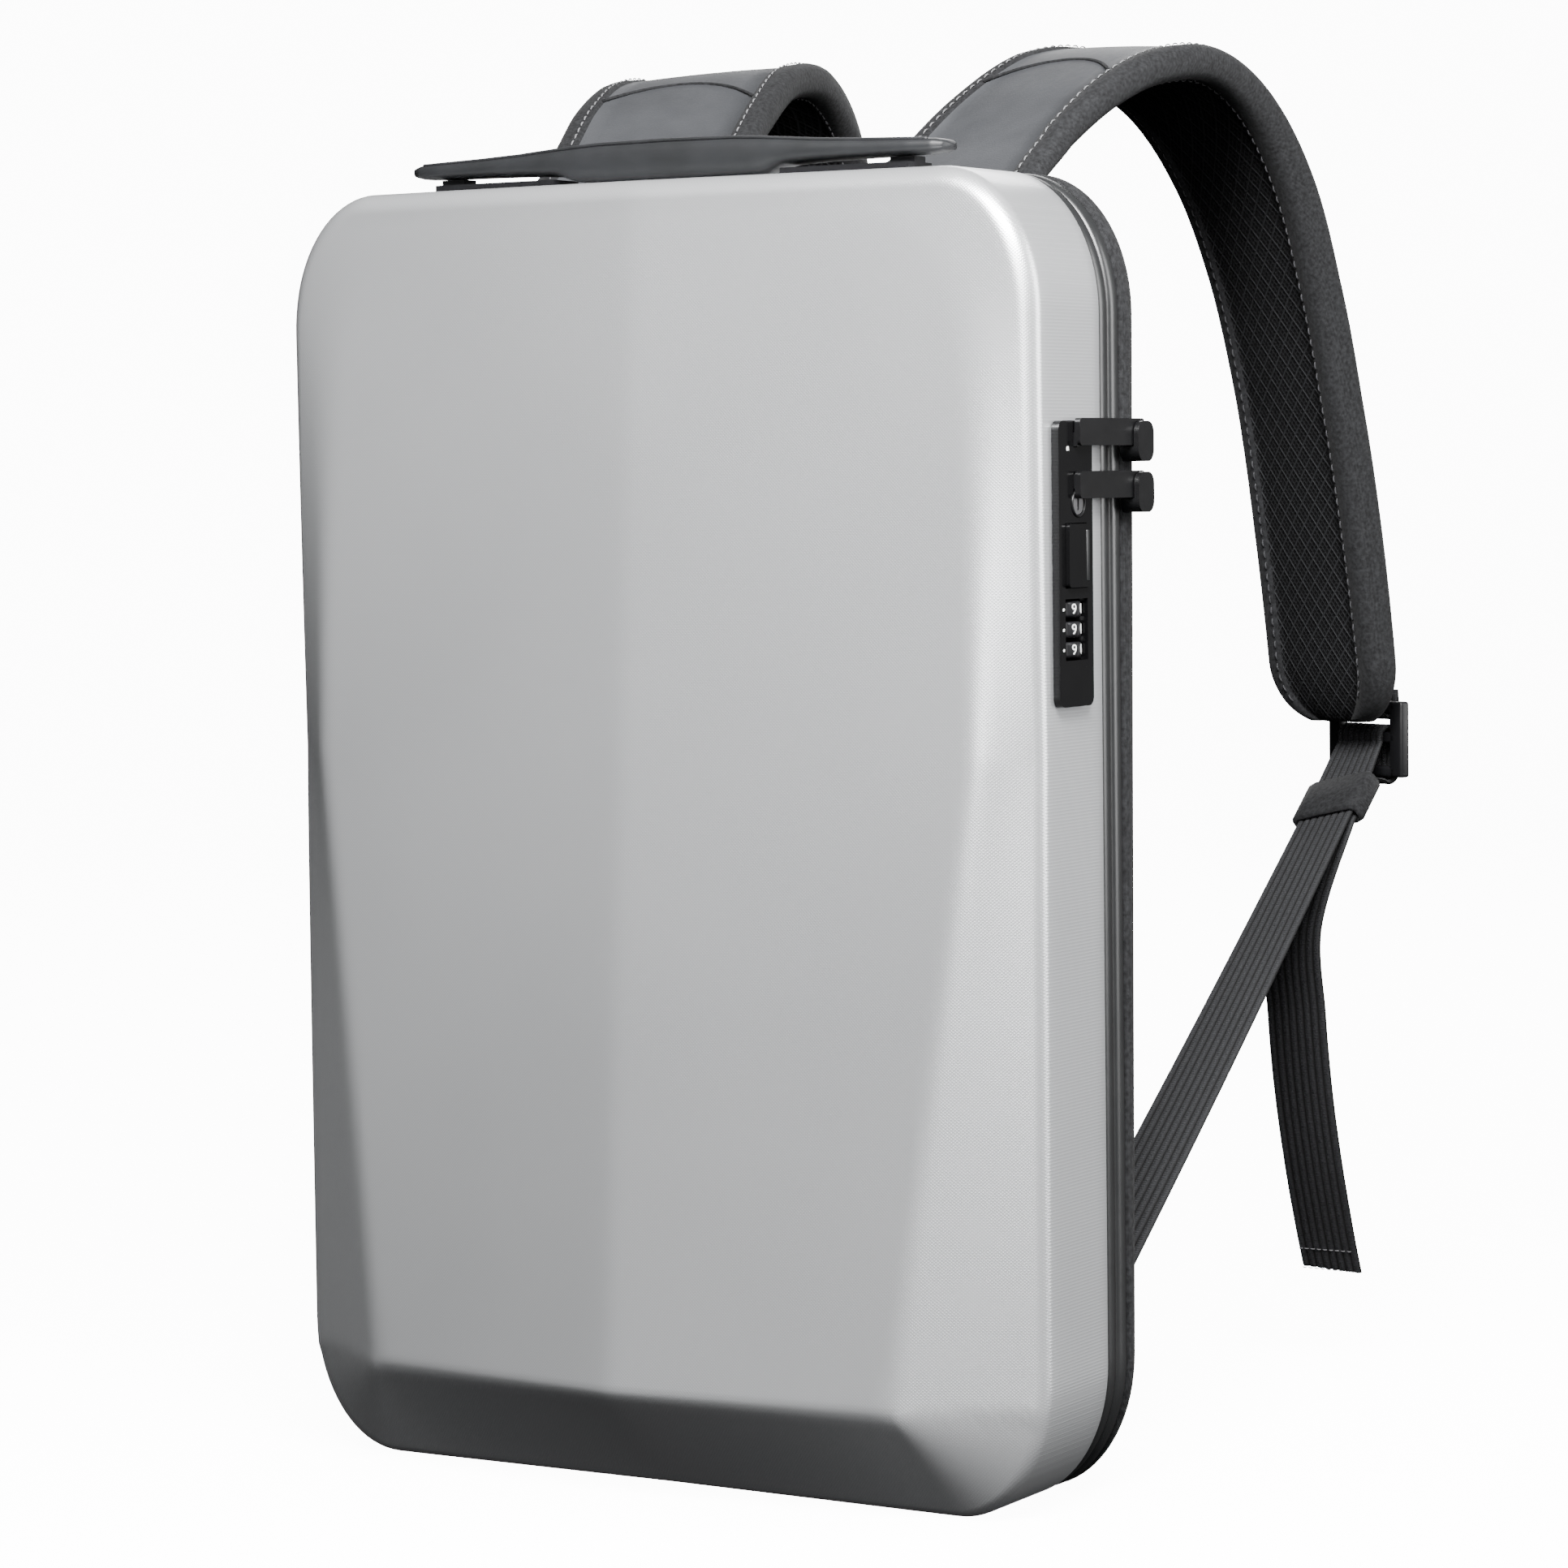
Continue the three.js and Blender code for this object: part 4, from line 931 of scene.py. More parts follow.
def strap_half(frame_here, end):
    """Half the strap's width and its thickness there, rounded off towards its end."""
    left = (end - frame_here["at"]).length
    rest = min(max(1 - left / STRAP_END, 0), 0.985)
    rounding = math.sqrt(1 - rest * rest)
    half = frame_here["wide"] / 2 - STRAP_END * 0.75 * (1 - rounding)
    return half, frame_here["thick"] * (0.45 + 0.55 * rounding)


def seated(point):
    seat = back_plane(min(point.z, HEIGHT)) + GAP
    point.y = max(point.y, seat)
    return point


def strap_profile(half, thick):
    """Section places and what each face strip is: outer skin, binding, or inner mesh."""
    edge = min(BINDING_WIDTH, half * 0.5)
    soft = min(thick / 2, BINDING_SOFT)
    spots = []
    inner_half = half - edge
    for k in range(9):
        u = inner_half * (k / 4 - 1)
        spots.append((u, -SKIN_SINK * (u / inner_half) ** 2, 0))
    spots.append((inner_half + BINDING_GAP, 0.0, 1))
    spots.append((half - soft, BINDING_RISE, 1))
    for k in range(1, 8):
        angle = math.pi / 2 - k / 8 * math.pi
        squeeze = thick / 2 - soft
        v = -thick / 2 + math.copysign(squeeze, math.sin(angle)) * (abs(math.sin(angle)) > 0.01)
        spots.append((half - soft + soft * math.cos(angle), v + soft * math.sin(angle), 1))
    spots.append((half - soft, -thick - BINDING_RISE, 1))
    spots.append((inner_half + BINDING_GAP, -thick, 1))
    for k in range(13):
        u = inner_half * (1 - k / 6)
        crown = NET_CROWN * (1 - (u / inner_half) ** 2)
        spots.append((u, NET_SINK - thick - crown, 2))
    mirrored = [(-u, v, kind) for u, v, kind in spots[9:20]]
    return spots + mirrored[::-1]


def shoulder_strap(side, label):
    frames = strap_frames(side)
    end = frames[-1]["at"]
    rings, kinds = [], []
    for one in frames:
        half, thick = strap_half(one, end)
        profile = strap_profile(half, thick)
        kinds = [kind for _, _, kind in profile]
        rings.append([seated(one["at"] + one["across"] * u + one["out"] * v)
                      for u, v, _ in profile])
    count = len(kinds)
    strap = ring_object(f"strap_{label}", rings, LEATHER)
    strap.data.materials.append(BINDING)
    strap.data.materials.append(NET)
    for polygon in strap.data.polygons:
        spot = [v % count for v in polygon.vertices]
        if len(spot) > 4:
            polygon.material_index = 1
            continue
        found = {kinds[s] for s in spot}
        polygon.material_index = 1 if 1 in found else found.pop()
    stands_for(strap, f"shoulder_strap_{label}")
    for hand, word in ((-1, "near"), (1, "far")):
        strap_stitch(frames, end, hand, 0.0022, 0, THREAD, f"stitch_{label}_out_{word}")
        strap_stitch(frames, end, hand, 0.0015, 1, DARK_THREAD, f"stitch_{label}_in_{word}")
    strap_seam(frames, end, label)


def strap_stitch(frames, end, hand, inwards, inner, thread, name):
    """The line of stitches along a binding, on the outer or the inner face."""
    places, ups = [], []
    for one in frames[2:-5]:
        half, thick = strap_half(one, end)
        u = hand * (half - BINDING_WIDTH + inwards)
        v = -thick - THREAD_LIFT if inner else THREAD_LIFT
        places.append(seated(one["at"] + one["across"] * u + one["out"] * v))
        ups.append(one["out"] * (-1 if inner else 1))
    stitches(name, places, ups, thread, thick=0.0007)


def strap_seam(frames, end, label):
    """The curved seam across the outer face, near the top of the strap."""
    places, ups = [], []
    for k in range(25):
        s = k / 24 * 2 - 1
        place = (SEAM_PLACE + SEAM_BOW * (1 - s * s)) * STRAP_STEPS
        a, b = frames[int(place)], frames[int(place) + 1]
        here = {key: a[key] + (b[key] - a[key]) * (place % 1) for key in a}
        half, _ = strap_half(here, end)
        u = s * (half - BINDING_WIDTH + 0.0005)
        places.append(here["at"] + here["across"] * u + here["out"] * 0.0001)
        ups.append(here["out"])
    tube(f"seam_{label}", places, 0.0006, BINDING, sides=8)


# Buckles and webbing

ANCHOR_X = 0.116
ANCHOR_Z = 0.052
ANCHOR_SIZE = 0.030
ANCHOR_THICK = 0.002
BUCKLE_WIDTH = 0.041
BUCKLE_HEIGHT = 0.028
BUCKLE_THICK = 0.0044
BUCKLE_BAR = 0.004
BUCKLE_TOP_SLOT = 0.0075
BUCKLE_YAW = math.radians(-25)
BUCKLE_BEHIND = 0.0094
BUCKLE_DROP = 0.021
KEEPER_LENGTH = 0.020
KEEPER_WALL = 0.0016
KEEPER_SHARE = 0.9
KEEPER_ROOM = 0.0012
TAB_LENGTH = 0.032
BELT_END = 0.012
BELT_SAG = 0.0015
TAUT_STEPS = 60
FREE_STEPS = 90
KEEPER_SPOTS = 48
KEEPER_ROUND = 0.0012
BAR_TOP_V = BUCKLE_HEIGHT / 2 - BUCKLE_BAR / 2
BAR_MID_V = BAR_TOP_V - BUCKLE_BAR - BUCKLE_TOP_SLOT
LIP_V = (BUCKLE_BAR - BUCKLE_HEIGHT) / 2
TURN_RADIUS = math.hypot(BUCKLE_THICK / 2, BUCKLE_BAR / 2) + BELT_THICK / 2 + GAP
FREE_ROWS = (
    (0.764, 0.855, 0.386),
    (0.757, 0.873, 0.314),
    (0.75, 0.9, 0.249),
    (0.747, 0.935, 0.181),
    (0.743, 0.978, 0.116),
    (0.743, 1, 0.084),
)


def buckle_frame(side):
    last = strap_frames(side)[-1]["at"]
    u = Vector((side * math.cos(BUCKLE_YAW), math.sin(BUCKLE_YAW), 0))
    n = Vector((-side * math.sin(BUCKLE_YAW), math.cos(BUCKLE_YAW), 0))
    v = Vector((0, 0, 1))
    at = last + n * BUCKLE_BEHIND
    at.z -= BUCKLE_DROP - BUCKLE_HEIGHT / 2
    return u, n, v, (lambda across, out, up: at + u * across + n * out + v * up)


def turn_round(place, bar_v, start, end, steps):
    u, n, v, spot = place
    rows = []
    for k in range(steps + 1):
        angle = math.radians(start + (end - start) * k / steps)
        at = spot(0, TURN_RADIUS * math.cos(angle), bar_v + TURN_RADIUS * math.sin(angle))
        rows.append((at, u.copy(), n * math.cos(angle) + v * math.sin(angle)))
    return rows


def anchor_place(side):
    y = back_plane(ANCHOR_Z) + GAP * 2 + ANCHOR_THICK + BELT_THICK / 2
    return Vector((side * ANCHOR_X, y, ANCHOR_Z))


def keeper_frame(side):
    place = buckle_frame(side)
    foot = anchor_place(side)
    top = place[3](0, -TURN_RADIUS, BAR_MID_V - BUCKLE_BAR)
    along = (top - foot).normalized()
    across = (place[0] - along * place[0].dot(along)).normalized()
    down = across.cross(along) * -side
    return foot.lerp(top, KEEPER_SHARE), along, across, down


def webbing_rows(side):
    place = buckle_frame(side)
    middle, along, across, down = keeper_frame(side)
    straight = KEEPER_LENGTH / 2 + BELT_THICK
    flat = Vector((side, 0, 0))
    foot = anchor_place(side)
    low = foot + Vector((0, back_plane(foot.z - BELT_END) - back_plane(foot.z), -BELT_END))
    lift = foot + along * BELT_END + Vector((0, 0, BELT_THICK))
    rows = [(low, flat, None), (foot, flat, None)]
    keeper_low = middle - along * straight
    for step in range(TAUT_STEPS):
        share = step / TAUT_STEPS
        sag = Vector((0, 0, -BELT_SAG * math.sin(share * math.pi)))
        rows.append((lift.lerp(keeper_low, share) + sag, flat.lerp(across, share), None))
    ply = BELT_THICK + KEEPER_ROOM

    def inside(offset, drop):
        return middle + along * offset + down * drop, across.copy(), down

    rows += [inside(-straight, 0), inside(straight, 0)]
    rows += turn_round(place, BAR_MID_V, 200, -15, 20)
    rows += turn_round(place, LIP_V, -5, -130, 12)
    rows.append(inside(straight, ply))
    free = Curve([inside(0, ply)[0], inside(-straight, ply)[0]]
                 + [(side * a * HALF, b * STRAP_REACH, c * HEIGHT) for a, b, c in FREE_ROWS])
    first = 1 / (len(FREE_ROWS) + 1)
    hang = Vector((side, -0.1, 0))
    rows.append(inside(-straight, ply))
    for step in range(1, FREE_STEPS + 1):
        share = step / FREE_STEPS
        rows.append((free.at(first + (1 - first) * share), across.lerp(hang, share), None))
    return rows


def webbing(side, label):
    rows = webbing_rows(side)
    belt, ups = ribbon(f"belt_{label}", rows)
    stands_for(belt, f"webbing_{label}")
    for k, row in enumerate((-10, -1)):
        at, across, _ = rows[row]
        line = [at + across.normalized() * (BELT_WIDTH * (s / 8 - 0.5) * 0.92) for s in range(9)]
        for face in (-1, 1):
            up = ups[row] * face
            stitches(f"hem_{label}_{k}_{'a' if face < 0 else 'b'}",
                     [p + up * (BELT_THICK / 2) for p in line], [up] * 9, THREAD,
                     length=0.0018, pitch=0.0026, thick=0.0005)


def buckle(side, label):
    """A ladder buckle: rounded side rails, three bars and a lower lip, all bevelled boxes."""
    *ways, spot = buckle_frame(side)
    parts = []
    rail = (BUCKLE_WIDTH - BELT_WIDTH - 0.0024) / 2
    for hand in (-1, 1):
        centre = hand * (BUCKLE_WIDTH / 2 - rail / 2)
        parts.append(box_part(spot(centre, 0, 0), (rail, BUCKLE_THICK, BUCKLE_HEIGHT), ways))
    for up in (BAR_TOP_V, BAR_MID_V, LIP_V):
        parts.append(box_part(spot(0, 0, up), (BUCKLE_WIDTH - rail, BUCKLE_THICK, BUCKLE_BAR), ways))
    piece = merged(f"ladder_{label}", parts, PLASTIC)
    add_modifier(piece, "BEVEL", width=0.0011, segments=3, limit_method="ANGLE")
    stands_for(piece, f"buckle_{label}")


def buckle_tab(side, label):
    place = buckle_frame(side)
    u, _, _, spot = place
    strap_side = -BUCKLE_BEHIND + BELT_THICK / 2 + GAP
    rows = [(spot(0, strap_side, BAR_TOP_V + TAB_LENGTH), u.copy(), None),
            (spot(0, strap_side, BAR_TOP_V + TAB_LENGTH / 3), u.copy(), None)]
    rows += turn_round(place, BAR_TOP_V, 170, 370, 16)
    rows.append((spot(0, TURN_RADIUS * 0.9, BAR_TOP_V + 0.006), u.copy(), None))
    piece, _ = ribbon(f"tab_{label}", rows)
    stands_for(piece, f"buckle_tab_{label}")


def keeper(side, label):
    """A flat elastic loop round both plies of the webbing."""
    middle, along, across, down = keeper_frame(side)
    ply = BELT_THICK + KEEPER_ROOM
    centre = middle + down * (ply / 2)
    rings = []
    sections = tuple((share, KEEPER_WALL * part)
                     for share, part in ((0, 0.4), (0.04, 1), (0.96, 1), (1, 0.4)))
    half = (BELT_WIDTH + KEEPER_ROOM) / 2
    high = (BELT_THICK + ply + KEEPER_ROOM) / 2
    for inner in (False, True):
        for share, wall in (sections[::-1] if inner else sections):
            grow = 0.0 if inner else wall
            at = centre + along * ((share - 0.5) * KEEPER_LENGTH)
            one = []
            for k in range(KEEPER_SPOTS):
                angle = k / KEEPER_SPOTS * math.tau
                x, z = rounded_loop(angle, half + grow, high + grow, KEEPER_ROUND + grow)
                one.append(at + across * x + down * z)
            rings.append(one)
    piece = ring_object(f"loop_{label}", rings, BINDING, closed=True)
    stands_for(piece, f"keeper_{label}")


def anchor(side, label):
    """A stitched patch that holds the webbing's lower end."""
    low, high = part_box(f"webbing_anchor_{label}")
    x = (low.x + high.x) / 2
    half = ANCHOR_SIZE / 2
    middle = (low.z + high.z) / 2

    def seat(z, lift):
        return back_plane(z) + GAP + lift

    def spot(layer, u, v):
        px, pz = rounded_square(u, v, half, half - 0.0005, 0.004)
        edge = min(1, 6 * (1 - max(abs(u), abs(v))) + 0.35)
        return x + px, seat(middle + pz, ANCHOR_THICK * layer * edge), middle + pz

    piece = mesh_object(f"patch_{label}", *cushion(12, 12, spot), FABRIC)
    stands_for(piece, f"webbing_anchor_{label}")
    loop = []
    for k in range(49):
        px, pz = rounded_loop(k / 48 * math.tau, half - 0.003, half - 0.0035, 0.003)
        loop.append((x + px, seat(middle + pz, ANCHOR_THICK), middle + pz))
    stitches(f"stitch_patch_{label}", loop, [(0, 1, 0)] * 49, DARK_THREAD)
    foot = anchor_place(side)
    y = foot.y + BELT_THICK / 2
    box = [(-0.8, -0.9), (0.8, -0.9), (0.8, 0.1), (-0.8, 0.1), (-0.8, -0.9), (0.8, 0.1)]
    cross = [(foot.x + a * BELT_WIDTH / 2, y, foot.z + b * BELT_END) for a, b in box]
    stitches(f"stitch_box_{label}", cross, [(0, 1, 0)] * len(cross), DARK_THREAD, 0.002, 0.003)


# Handle

HANDLE_HALF = 0.104
HANDLE_RISE = 0.0146
HANDLE_WIDTH = 0.019
HANDLE_Y = -0.007
HANDLE_SIDE_ROUND = 0.55
HANDLE_TOP_ROUND = 0.7
HANDLE_SEAM_END = 0.95
HANDLE_SEAM_SIDE = 0.8
HANDLE_SEAM_HEIGHT = 0.86
HANDLE_SEAM_RADIUS = 0.0006
HANDLE_ROWS = (
    (0, 0.08, 1, 1), (0.25, 0.08, 0.98, 1), (0.35, 0.1, 0.94, 0.98), (0.415, 0.26, 0.89, 0.97),
    (0.56, 0.31, 0.8, 0.93), (0.72, 0.33, 0.74, 0.88), (0.88, 0.34, 0.7, 0.84),
    (0.96, 0.36, 0.68, 0.72), (0.99, 0.41, 0.63, 0.5), (1, 0.48, 0.56, 0.2),
)


def handle():
    """The top handle, with a raised seam line along both edges."""
    rows = [(-a, b, c, d) for a, b, c, d in HANDLE_ROWS[:0:-1]] + list(HANDLE_ROWS)
    keys, *columns = zip(*rows)
    steps, sides = 120, 28
    rings = []
    seam = {-1: [], 1: []}
    for k in range(steps + 1):
        s = math.sin((k / steps - 0.5) * math.pi)
        low, high, wide = (float(np.interp(s, keys, column)) for column in columns)
        centre_z = HEIGHT + (low + high) / 2 * HANDLE_RISE
        tall = (high - low) / 2 * HANDLE_RISE
        one = []
        for cos, sin in circle(sides):
            y = HANDLE_Y + HANDLE_WIDTH / 2 * wide * math.copysign(abs(cos) ** HANDLE_SIDE_ROUND, cos)
            z = centre_z + tall * math.copysign(abs(sin) ** HANDLE_TOP_ROUND, sin)
            one.append((s * HANDLE_HALF, y, z))
        rings.append(one)
        if abs(s) < HANDLE_SEAM_END:
            for hand, line in seam.items():
                y = HANDLE_Y + hand * HANDLE_WIDTH / 2 * wide * HANDLE_SEAM_SIDE
                line.append((s * HANDLE_HALF, y, centre_z + tall * HANDLE_SEAM_HEIGHT))
    piece = ring_object("grip_top", rings, RUBBER)
    stands_for(piece, "carry_handle")
    tube("grip_seam_front", seam[-1], HANDLE_SEAM_RADIUS, RUBBER, sides=8)
    tube("grip_seam_rear", seam[1], HANDLE_SEAM_RADIUS, RUBBER, sides=8)


# Lock, pulls and plates keep their frame solids with bevels and finer finishes

LOCK_LOW, LOCK_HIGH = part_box("lock_housing")
LOCK_Y = (LOCK_LOW.y + LOCK_HIGH.y) / 2
LOCK_Z = (LOCK_LOW.z + LOCK_HIGH.z) / 2
FACE_X = LOCK_HIGH.x
DIAL_RADIUS = 0.0072
DIGITS = 10
DIGIT_SIZE = 0.0046
DIGIT_RAISE = 0.00006
DIGIT_LIFT = 0.00003
DIAL_FLUTE = 0.00035
DIAL_SECTION = ((0.0018, 0.5), (0.0062, 0.5), (0.0069, 0.46), (DIAL_RADIUS, 0.3))
STRIP_OFFSET = 0.0052
STRIP_SIZE = (0.0005, 0.0018, 0.016)
MARK_OFFSET = -0.0088
MARK_SIZE = (0.0003, 0.0009, 0.0009)
DOT_OFFSET = (-0.0052, 0.0362)
DOT_SIZE = (0.0003, 0.0014, 0.0014)
DETAIL_LIFT = 0.00005
KEY_RING = 0.0041
KEY_RING_LIFT = 0.0001
LOCK_LEDGE = 0.0012


def finish_nodes():
    looks = {
        "lock_housing": (GLOSS, 0.0004), "release_button": (GLOSS, 0.0004),
        "dial_axle": (KEY_METAL, 0.0002), "key_cylinder": (KEY_METAL, 0.00025),
        "zip_pull_upper": (METAL, 0.0005), "zip_pull_lower": (METAL, 0.0005),
        "zip_slider_upper": (METAL, 0.0026), "zip_slider_lower": (METAL, 0.0026),
        "handle_plate_right": (PLASTIC, 0.0006), "handle_plate_left": (PLASTIC, 0.0006),
    }
    for name, (material, width) in looks.items():
        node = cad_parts[name]
        for slot in node.material_slots:
            slot.material = material
        add_modifier(node, "BEVEL", width=width, segments=5, limit_method="ANGLE")


def lock_opening(piece):
    """Cuts the shell's side wall away under the lock, so that dials and button have room."""
    lows = (LOCK_LOW.y + LOCK_LEDGE, LOCK_LOW.z + LOCK_LEDGE)
    highs = (min(LOCK_HIGH.y, RIM_Y) - LOCK_LEDGE, LOCK_HIGH.z - LOCK_LEDGE)
    work = bmesh.new()
    work.from_mesh(piece.data)

    def wall(reach):
        found = []
        for face in work.faces:
            spot = face.calc_center_median()
            inside = all(low - reach < place < high + reach
                         for low, place, high in zip(lows, (spot.y, spot.z), highs))
            if spot.x > HALF - LOCK_LEDGE and inside:
                found.append(face)
        return found

    for axis, (low, high) in enumerate(zip(lows, highs)):
        for place in (low, high):
            near = wall(0.008)
            edges = list(dict.fromkeys(e for face in near for e in face.edges))
            verts = list(dict.fromkeys(v for face in near for v in face.verts))
            way = Vector((0, 1 - axis, axis))
            bmesh.ops.bisect_plane(work, geom=near + edges + verts, plane_co=way * place, plane_no=way)
    bmesh.ops.delete(work, geom=wall(0), context="FACES")
    work.to_mesh(piece.data)
    work.free()


def dial(index):
    """A code wheel with a knurled rim and ten plain digits round it."""
    name = f"dial_{index}"
    low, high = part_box(name)
    centre = (low + high) / 2
    tall = high.z - low.z
    sides = 120
    section = list(DIAL_SECTION) + [(radius, -share) for radius, share in DIAL_SECTION[::-1]]
    rings = []
    for radius, share in section:
        one = []
        flute_depth = DIAL_FLUTE if radius == DIAL_RADIUS else 0.0
        for k in range(sides):
            angle = k / sides * math.tau
            here = radius - flute_depth * (0.5 + 0.5 * math.cos(angle * DIGITS)) ** 4
            one.append((centre.x + here * math.cos(angle), centre.y + here * math.sin(angle),
                        centre.z + share * tall))
        rings.append(one)
    wheel = ring_object(f"wheel_{index}", rings, PLASTIC, body=name, closed=True)
    stands_for(wheel, name)
    for digit in range(DIGITS):
        angle = (digit + 0.5) / DIGITS * math.tau
        number(f"digit_{index}_{digit}", str(digit), centre, angle, name)


def number(name, word, centre, angle, body):
    data = bpy.data.curves.new(name, "FONT")
    data.body = word
    data.size = DIGIT_SIZE
    data.align_x = "CENTER"
    data.align_y = "CENTER"
    data.extrude = DIGIT_RAISE
    made = bpy.data.objects.new(name, data)
    bpy.context.scene.collection.objects.link(made)
    bpy.context.view_layer.update()
    depsgraph = bpy.context.evaluated_depsgraph_get()
    mesh = bpy.data.meshes.new_from_object(made.evaluated_get(depsgraph))
    bpy.data.objects.remove(made)
    for vertex in mesh.vertices:
        x, y, z = vertex.co
        turn = angle + x / DIAL_RADIUS
        radius = DIAL_RADIUS + DIGIT_LIFT + z
        vertex.co = (centre.x + radius * math.cos(turn), centre.y + radius * math.sin(turn),
                     centre.z + y)
    mesh.materials.clear()
    mesh.materials.append(WHITE)
    piece = bpy.data.objects.new(name, mesh)
    bpy.context.scene.collection.objects.link(piece)
    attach(piece, body)


def lock_details():
    """The side strip of the button, the marks beside the dials, the index dot and the key's ring."""
    ways = (Vector((1, 0, 0)), Vector((0, 1, 0)), Vector((0, 0, 1)))
    button_low, button_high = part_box("release_button")
    strip = (button_high.x, LOCK_Y + STRIP_OFFSET, (button_low.z + button_high.z) / 2)
    piece = merged("button_strip", [box_part(strip, STRIP_SIZE, ways)], PIPING, "button")
    add_modifier(piece, "BEVEL", width=0.0002, segments=2)
    marks = []
    for index in (1, 2, 3):
        low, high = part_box(f"dial_{index}")
        at = (FACE_X + DETAIL_LIFT, LOCK_Y + MARK_OFFSET, (low.z + high.z) / 2)
        marks.append(box_part(at, MARK_SIZE, ways))
    at = (FACE_X + DETAIL_LIFT, LOCK_Y + DOT_OFFSET[0], LOCK_Z + DOT_OFFSET[1])
    marks.append(box_part(at, DOT_SIZE, ways))
    piece = merged("lock_marks", marks, WHITE)
    add_modifier(piece, "BEVEL", width=0.0003, segments=3)
    key_low, key_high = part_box("key_cylinder")
    middle = (key_low + key_high) / 2
    loop = [(FACE_X + KEY_RING_LIFT, middle.y + KEY_RING * cos, middle.z + KEY_RING * sin)
            for cos, sin in circle(32)]
    tube("key_ring", loop, 0.0004, METAL, closed=True, sides=8, up=(1, 0, 0))


# Camera, light and floor

LIGHTS = (
    ("key_top", (0.45, -0.55, 0.92), (0, -0.02, 0.46), (0.7, 0.3), 50),
    ("front_right", (1.5, -2.2, 0.9), (0, 0, 0.30), (1.1, 1.1), 34),
    ("side_right", (1.9, 0.9, 0.7), (0.1, 0, 0.22), (0.8, 1.4), 32),
    ("back_rim", (-0.7, 1.9, 1.3), (0, 0.1, 0.3), (0.9, 0.9), 16),
)
CAMERA_AZIMUTH = math.radians(31.32)
CAMERA_PITCH = math.radians(3.72)
CAMERA_ROLL = math.radians(-0.76)
CAMERA_LENS = 108.82
CAMERA_DISTANCE = 1.589
CAMERA_ASIDE = (0.0237, 0.0153)
TARGET = Vector((0, 0.010, 0.215))
WORLD_STRENGTH = 0.42
WORLD_SIDE_TILT = 0.6
WORLD_STEEPNESS = 0.5
WORLD_HORIZON = 0.3
WORLD_FULL = 0.85
WORLD_DARK = (0.03, 0.03, 0.032, 1)
FLOOR_GLOW = 12.0
BOWL = 3.0


def camera():
    az, el, roll = CAMERA_AZIMUTH, CAMERA_PITCH, CAMERA_ROLL
    back = Vector((math.sin(az) * math.cos(el), -math.cos(az) * math.cos(el), math.sin(el)))
    right = Vector((math.cos(az), math.sin(az), 0))
    up = back.cross(right)
    data = bpy.data.cameras.new("camera")
    data.lens = CAMERA_LENS
    data.sensor_width = 36
    eye = bpy.data.objects.new("camera", data)
    bpy.context.scene.collection.objects.link(eye)
    turned_right = right * math.cos(roll) + up * math.sin(roll)
    turned_up = up * math.cos(roll) - right * math.sin(roll)
    place = TARGET + back * CAMERA_DISTANCE + right * CAMERA_ASIDE[0] + up * CAMERA_ASIDE[1]
    matrix = eye.matrix_world.copy()
    for row in range(3):
        matrix[row][0] = turned_right[row]
        matrix[row][1] = turned_up[row]
        matrix[row][2] = back[row]
        matrix[row][3] = place[row]
    eye.matrix_world = matrix
    bpy.context.scene.camera = eye


def area_light(name, place, target, size, power):
    data = bpy.data.lights.new(name, "AREA")
    data.shape = "RECTANGLE"
    data.size, data.size_y = size
    data.energy = power
    lamp = bpy.data.objects.new(name, data)
    bpy.context.scene.collection.objects.link(lamp)
    lamp.location = place
    lamp.rotation_mode = "QUATERNION"
    lamp.rotation_quaternion = (Vector(target) - Vector(place)).to_track_quat("-Z", "Y")


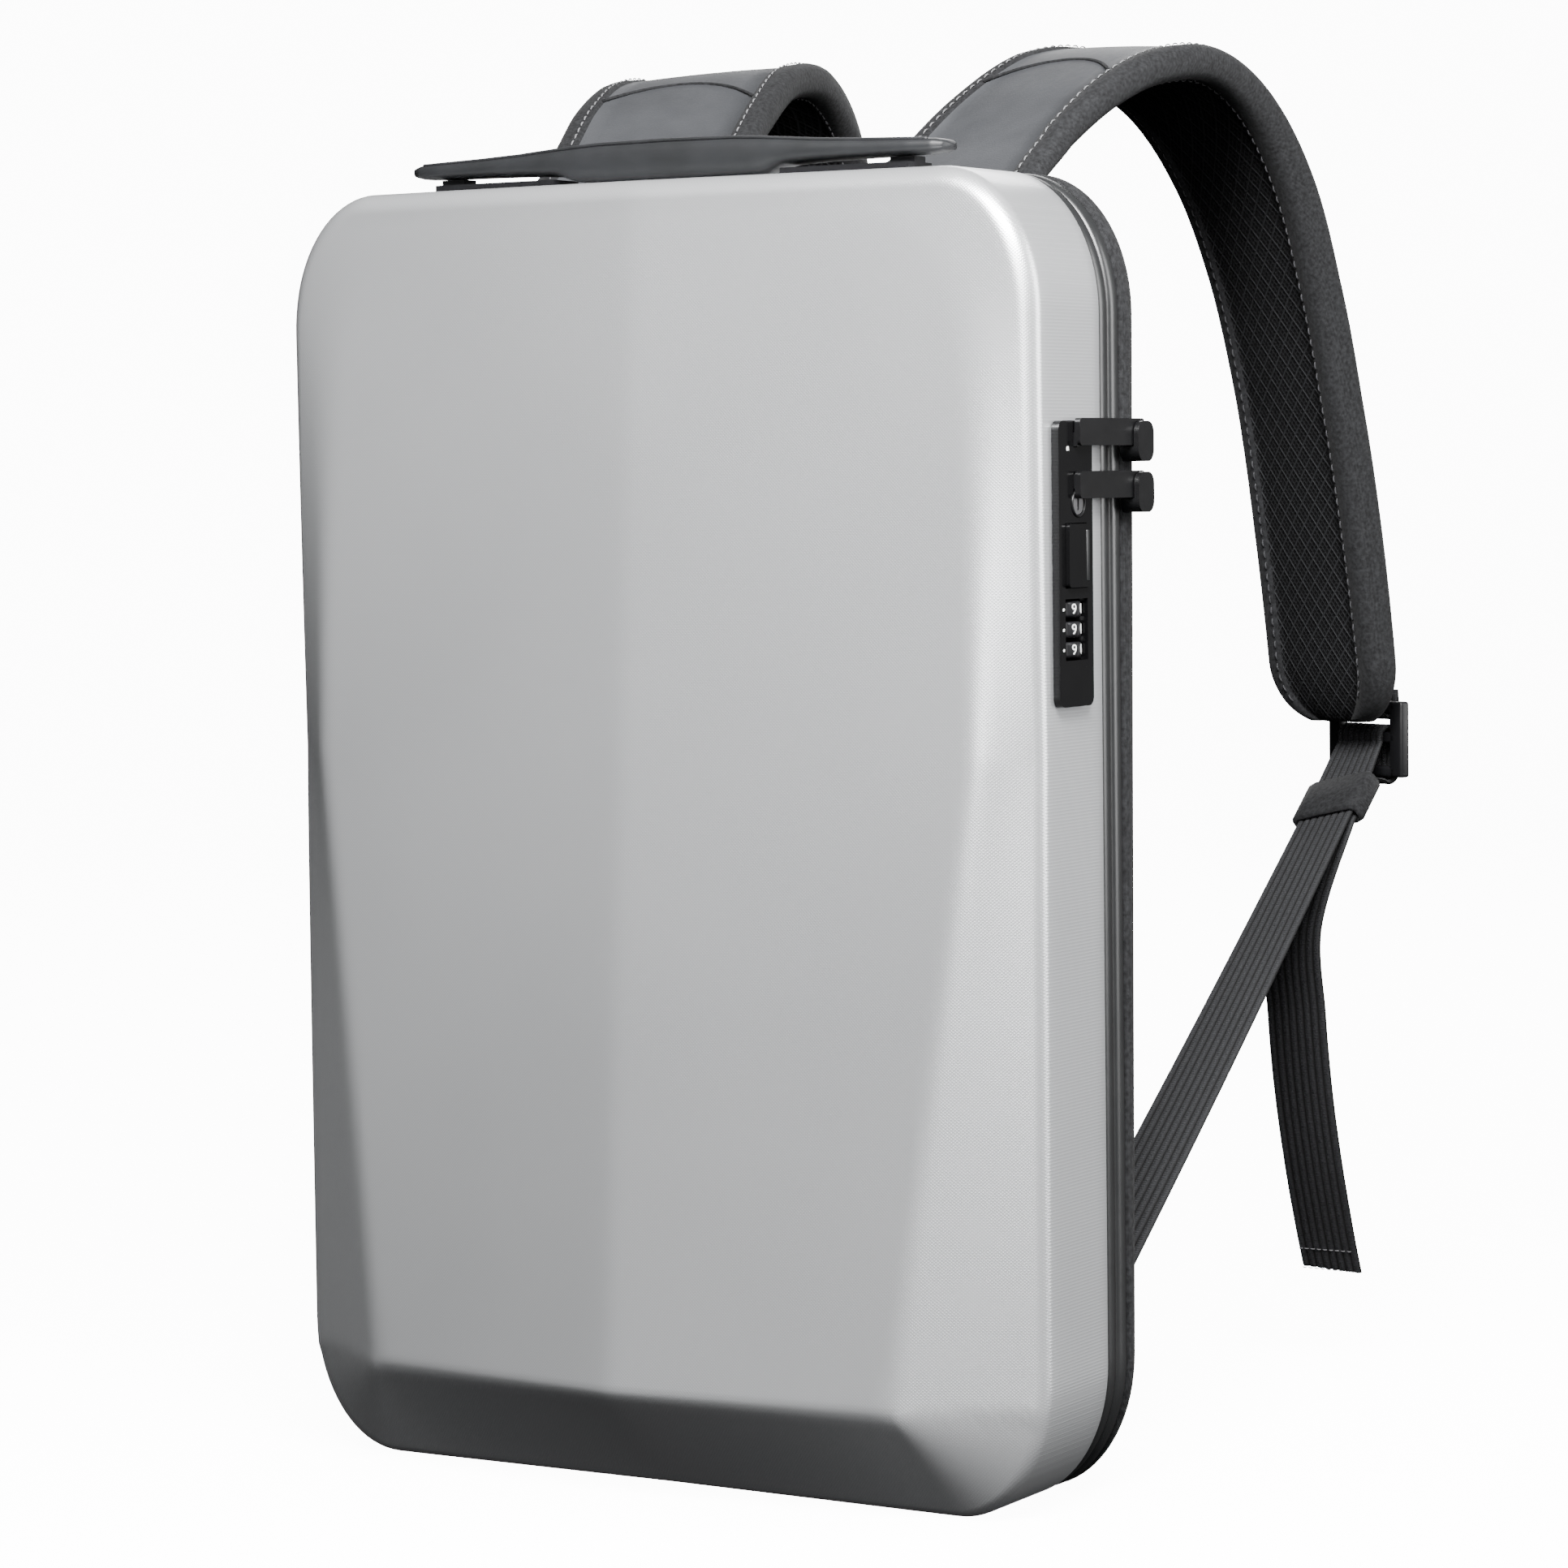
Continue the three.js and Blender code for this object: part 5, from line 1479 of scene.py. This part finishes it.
def sky():
    """A soft world, pale above and to the right, dark below and to the left."""
    world = bpy.data.worlds.new("world")
    bpy.context.scene.world = world
    world.use_nodes = True
    nodes, links = world.node_tree.nodes, world.node_tree.links
    background = nodes["Background"]
    background.inputs["Strength"].default_value = WORLD_STRENGTH
    split = nodes.new("ShaderNodeSeparateXYZ")
    links.new(nodes.new("ShaderNodeTexCoord").outputs["Generated"], split.inputs[0])
    tilt, shift = (nodes.new("ShaderNodeMath") for _ in range(2))
    tilt.operation = shift.operation = "MULTIPLY_ADD"
    tilt.inputs[1].default_value = WORLD_SIDE_TILT
    shift.inputs[1].default_value = WORLD_STEEPNESS
    shift.inputs[2].default_value = WORLD_HORIZON
    links.new(split.outputs["X"], tilt.inputs[0])
    links.new(split.outputs["Z"], tilt.inputs[2])
    links.new(tilt.outputs[0], shift.inputs[0])
    ramp = nodes.new("ShaderNodeValToRGB")
    dark, light = ramp.color_ramp.elements
    dark.position, light.position = 0.0, WORLD_FULL
    dark.color, light.color = WORLD_DARK, (1, 1, 1, 1)
    links.new(shift.outputs[0], ramp.inputs["Fac"])
    links.new(ramp.outputs["Color"], background.inputs["Color"])


def floor():
    """A pale floor that bends up into a seamless bowl and lights nothing itself."""
    look = Shader("floor", rough=0.95)
    look.colour(look.noise(2.0, 2.0), (0.80, 0.80, 0.80), (0.83, 0.83, 0.83))
    look.surface.inputs["Emission Color"].default_value = (1, 1, 1, 1)
    look.surface.inputs["Emission Strength"].default_value = FLOOR_GLOW
    sides, steps = 96, 12
    profile = [(0.01, 0.0), (1.0, 0.0), (BOWL, 0.0)]
    for k in range(1, steps + 1):
        angle = k / steps * math.pi / 2
        profile.append((BOWL + BOWL * math.sin(angle), BOWL * (1 - math.cos(angle))))
    profile.append((BOWL * 2, BOWL * 3))
    points = [(radius * cos, radius * sin, z) for radius, z in profile for cos, sin in circle(sides)]
    faces = ring_faces(len(profile), sides) + [tuple(range(sides))]
    bowl = mesh_object("floor", points, faces, look.material, body=None)
    bowl.visible_diffuse = False
    bowl.visible_glossy = False
    bowl.visible_shadow = False


camera()
shell = front_shell()
lock_opening(shell)
stands_for(shell, "front_shell")
stands_for(zip_band("rib_front", BAND_FRONT_Y, 0.0003), "zip_band_front")
stands_for(zip_band("rib_rear", BAND_REAR_Y, 0.0001), "zip_band_rear")
zip_teeth()
back_body()
back_pad()
handle()
finish_nodes()
for number_of_dial in (1, 2, 3):
    dial(number_of_dial)
lock_details()
for label, side in (("right", 1), ("left", -1)):
    for piece_maker in (shoulder_strap, buckle, buckle_tab, webbing, keeper, anchor):
        piece_maker(side, label)
sky()
floor()
for light in LIGHTS:
    area_light(*light)
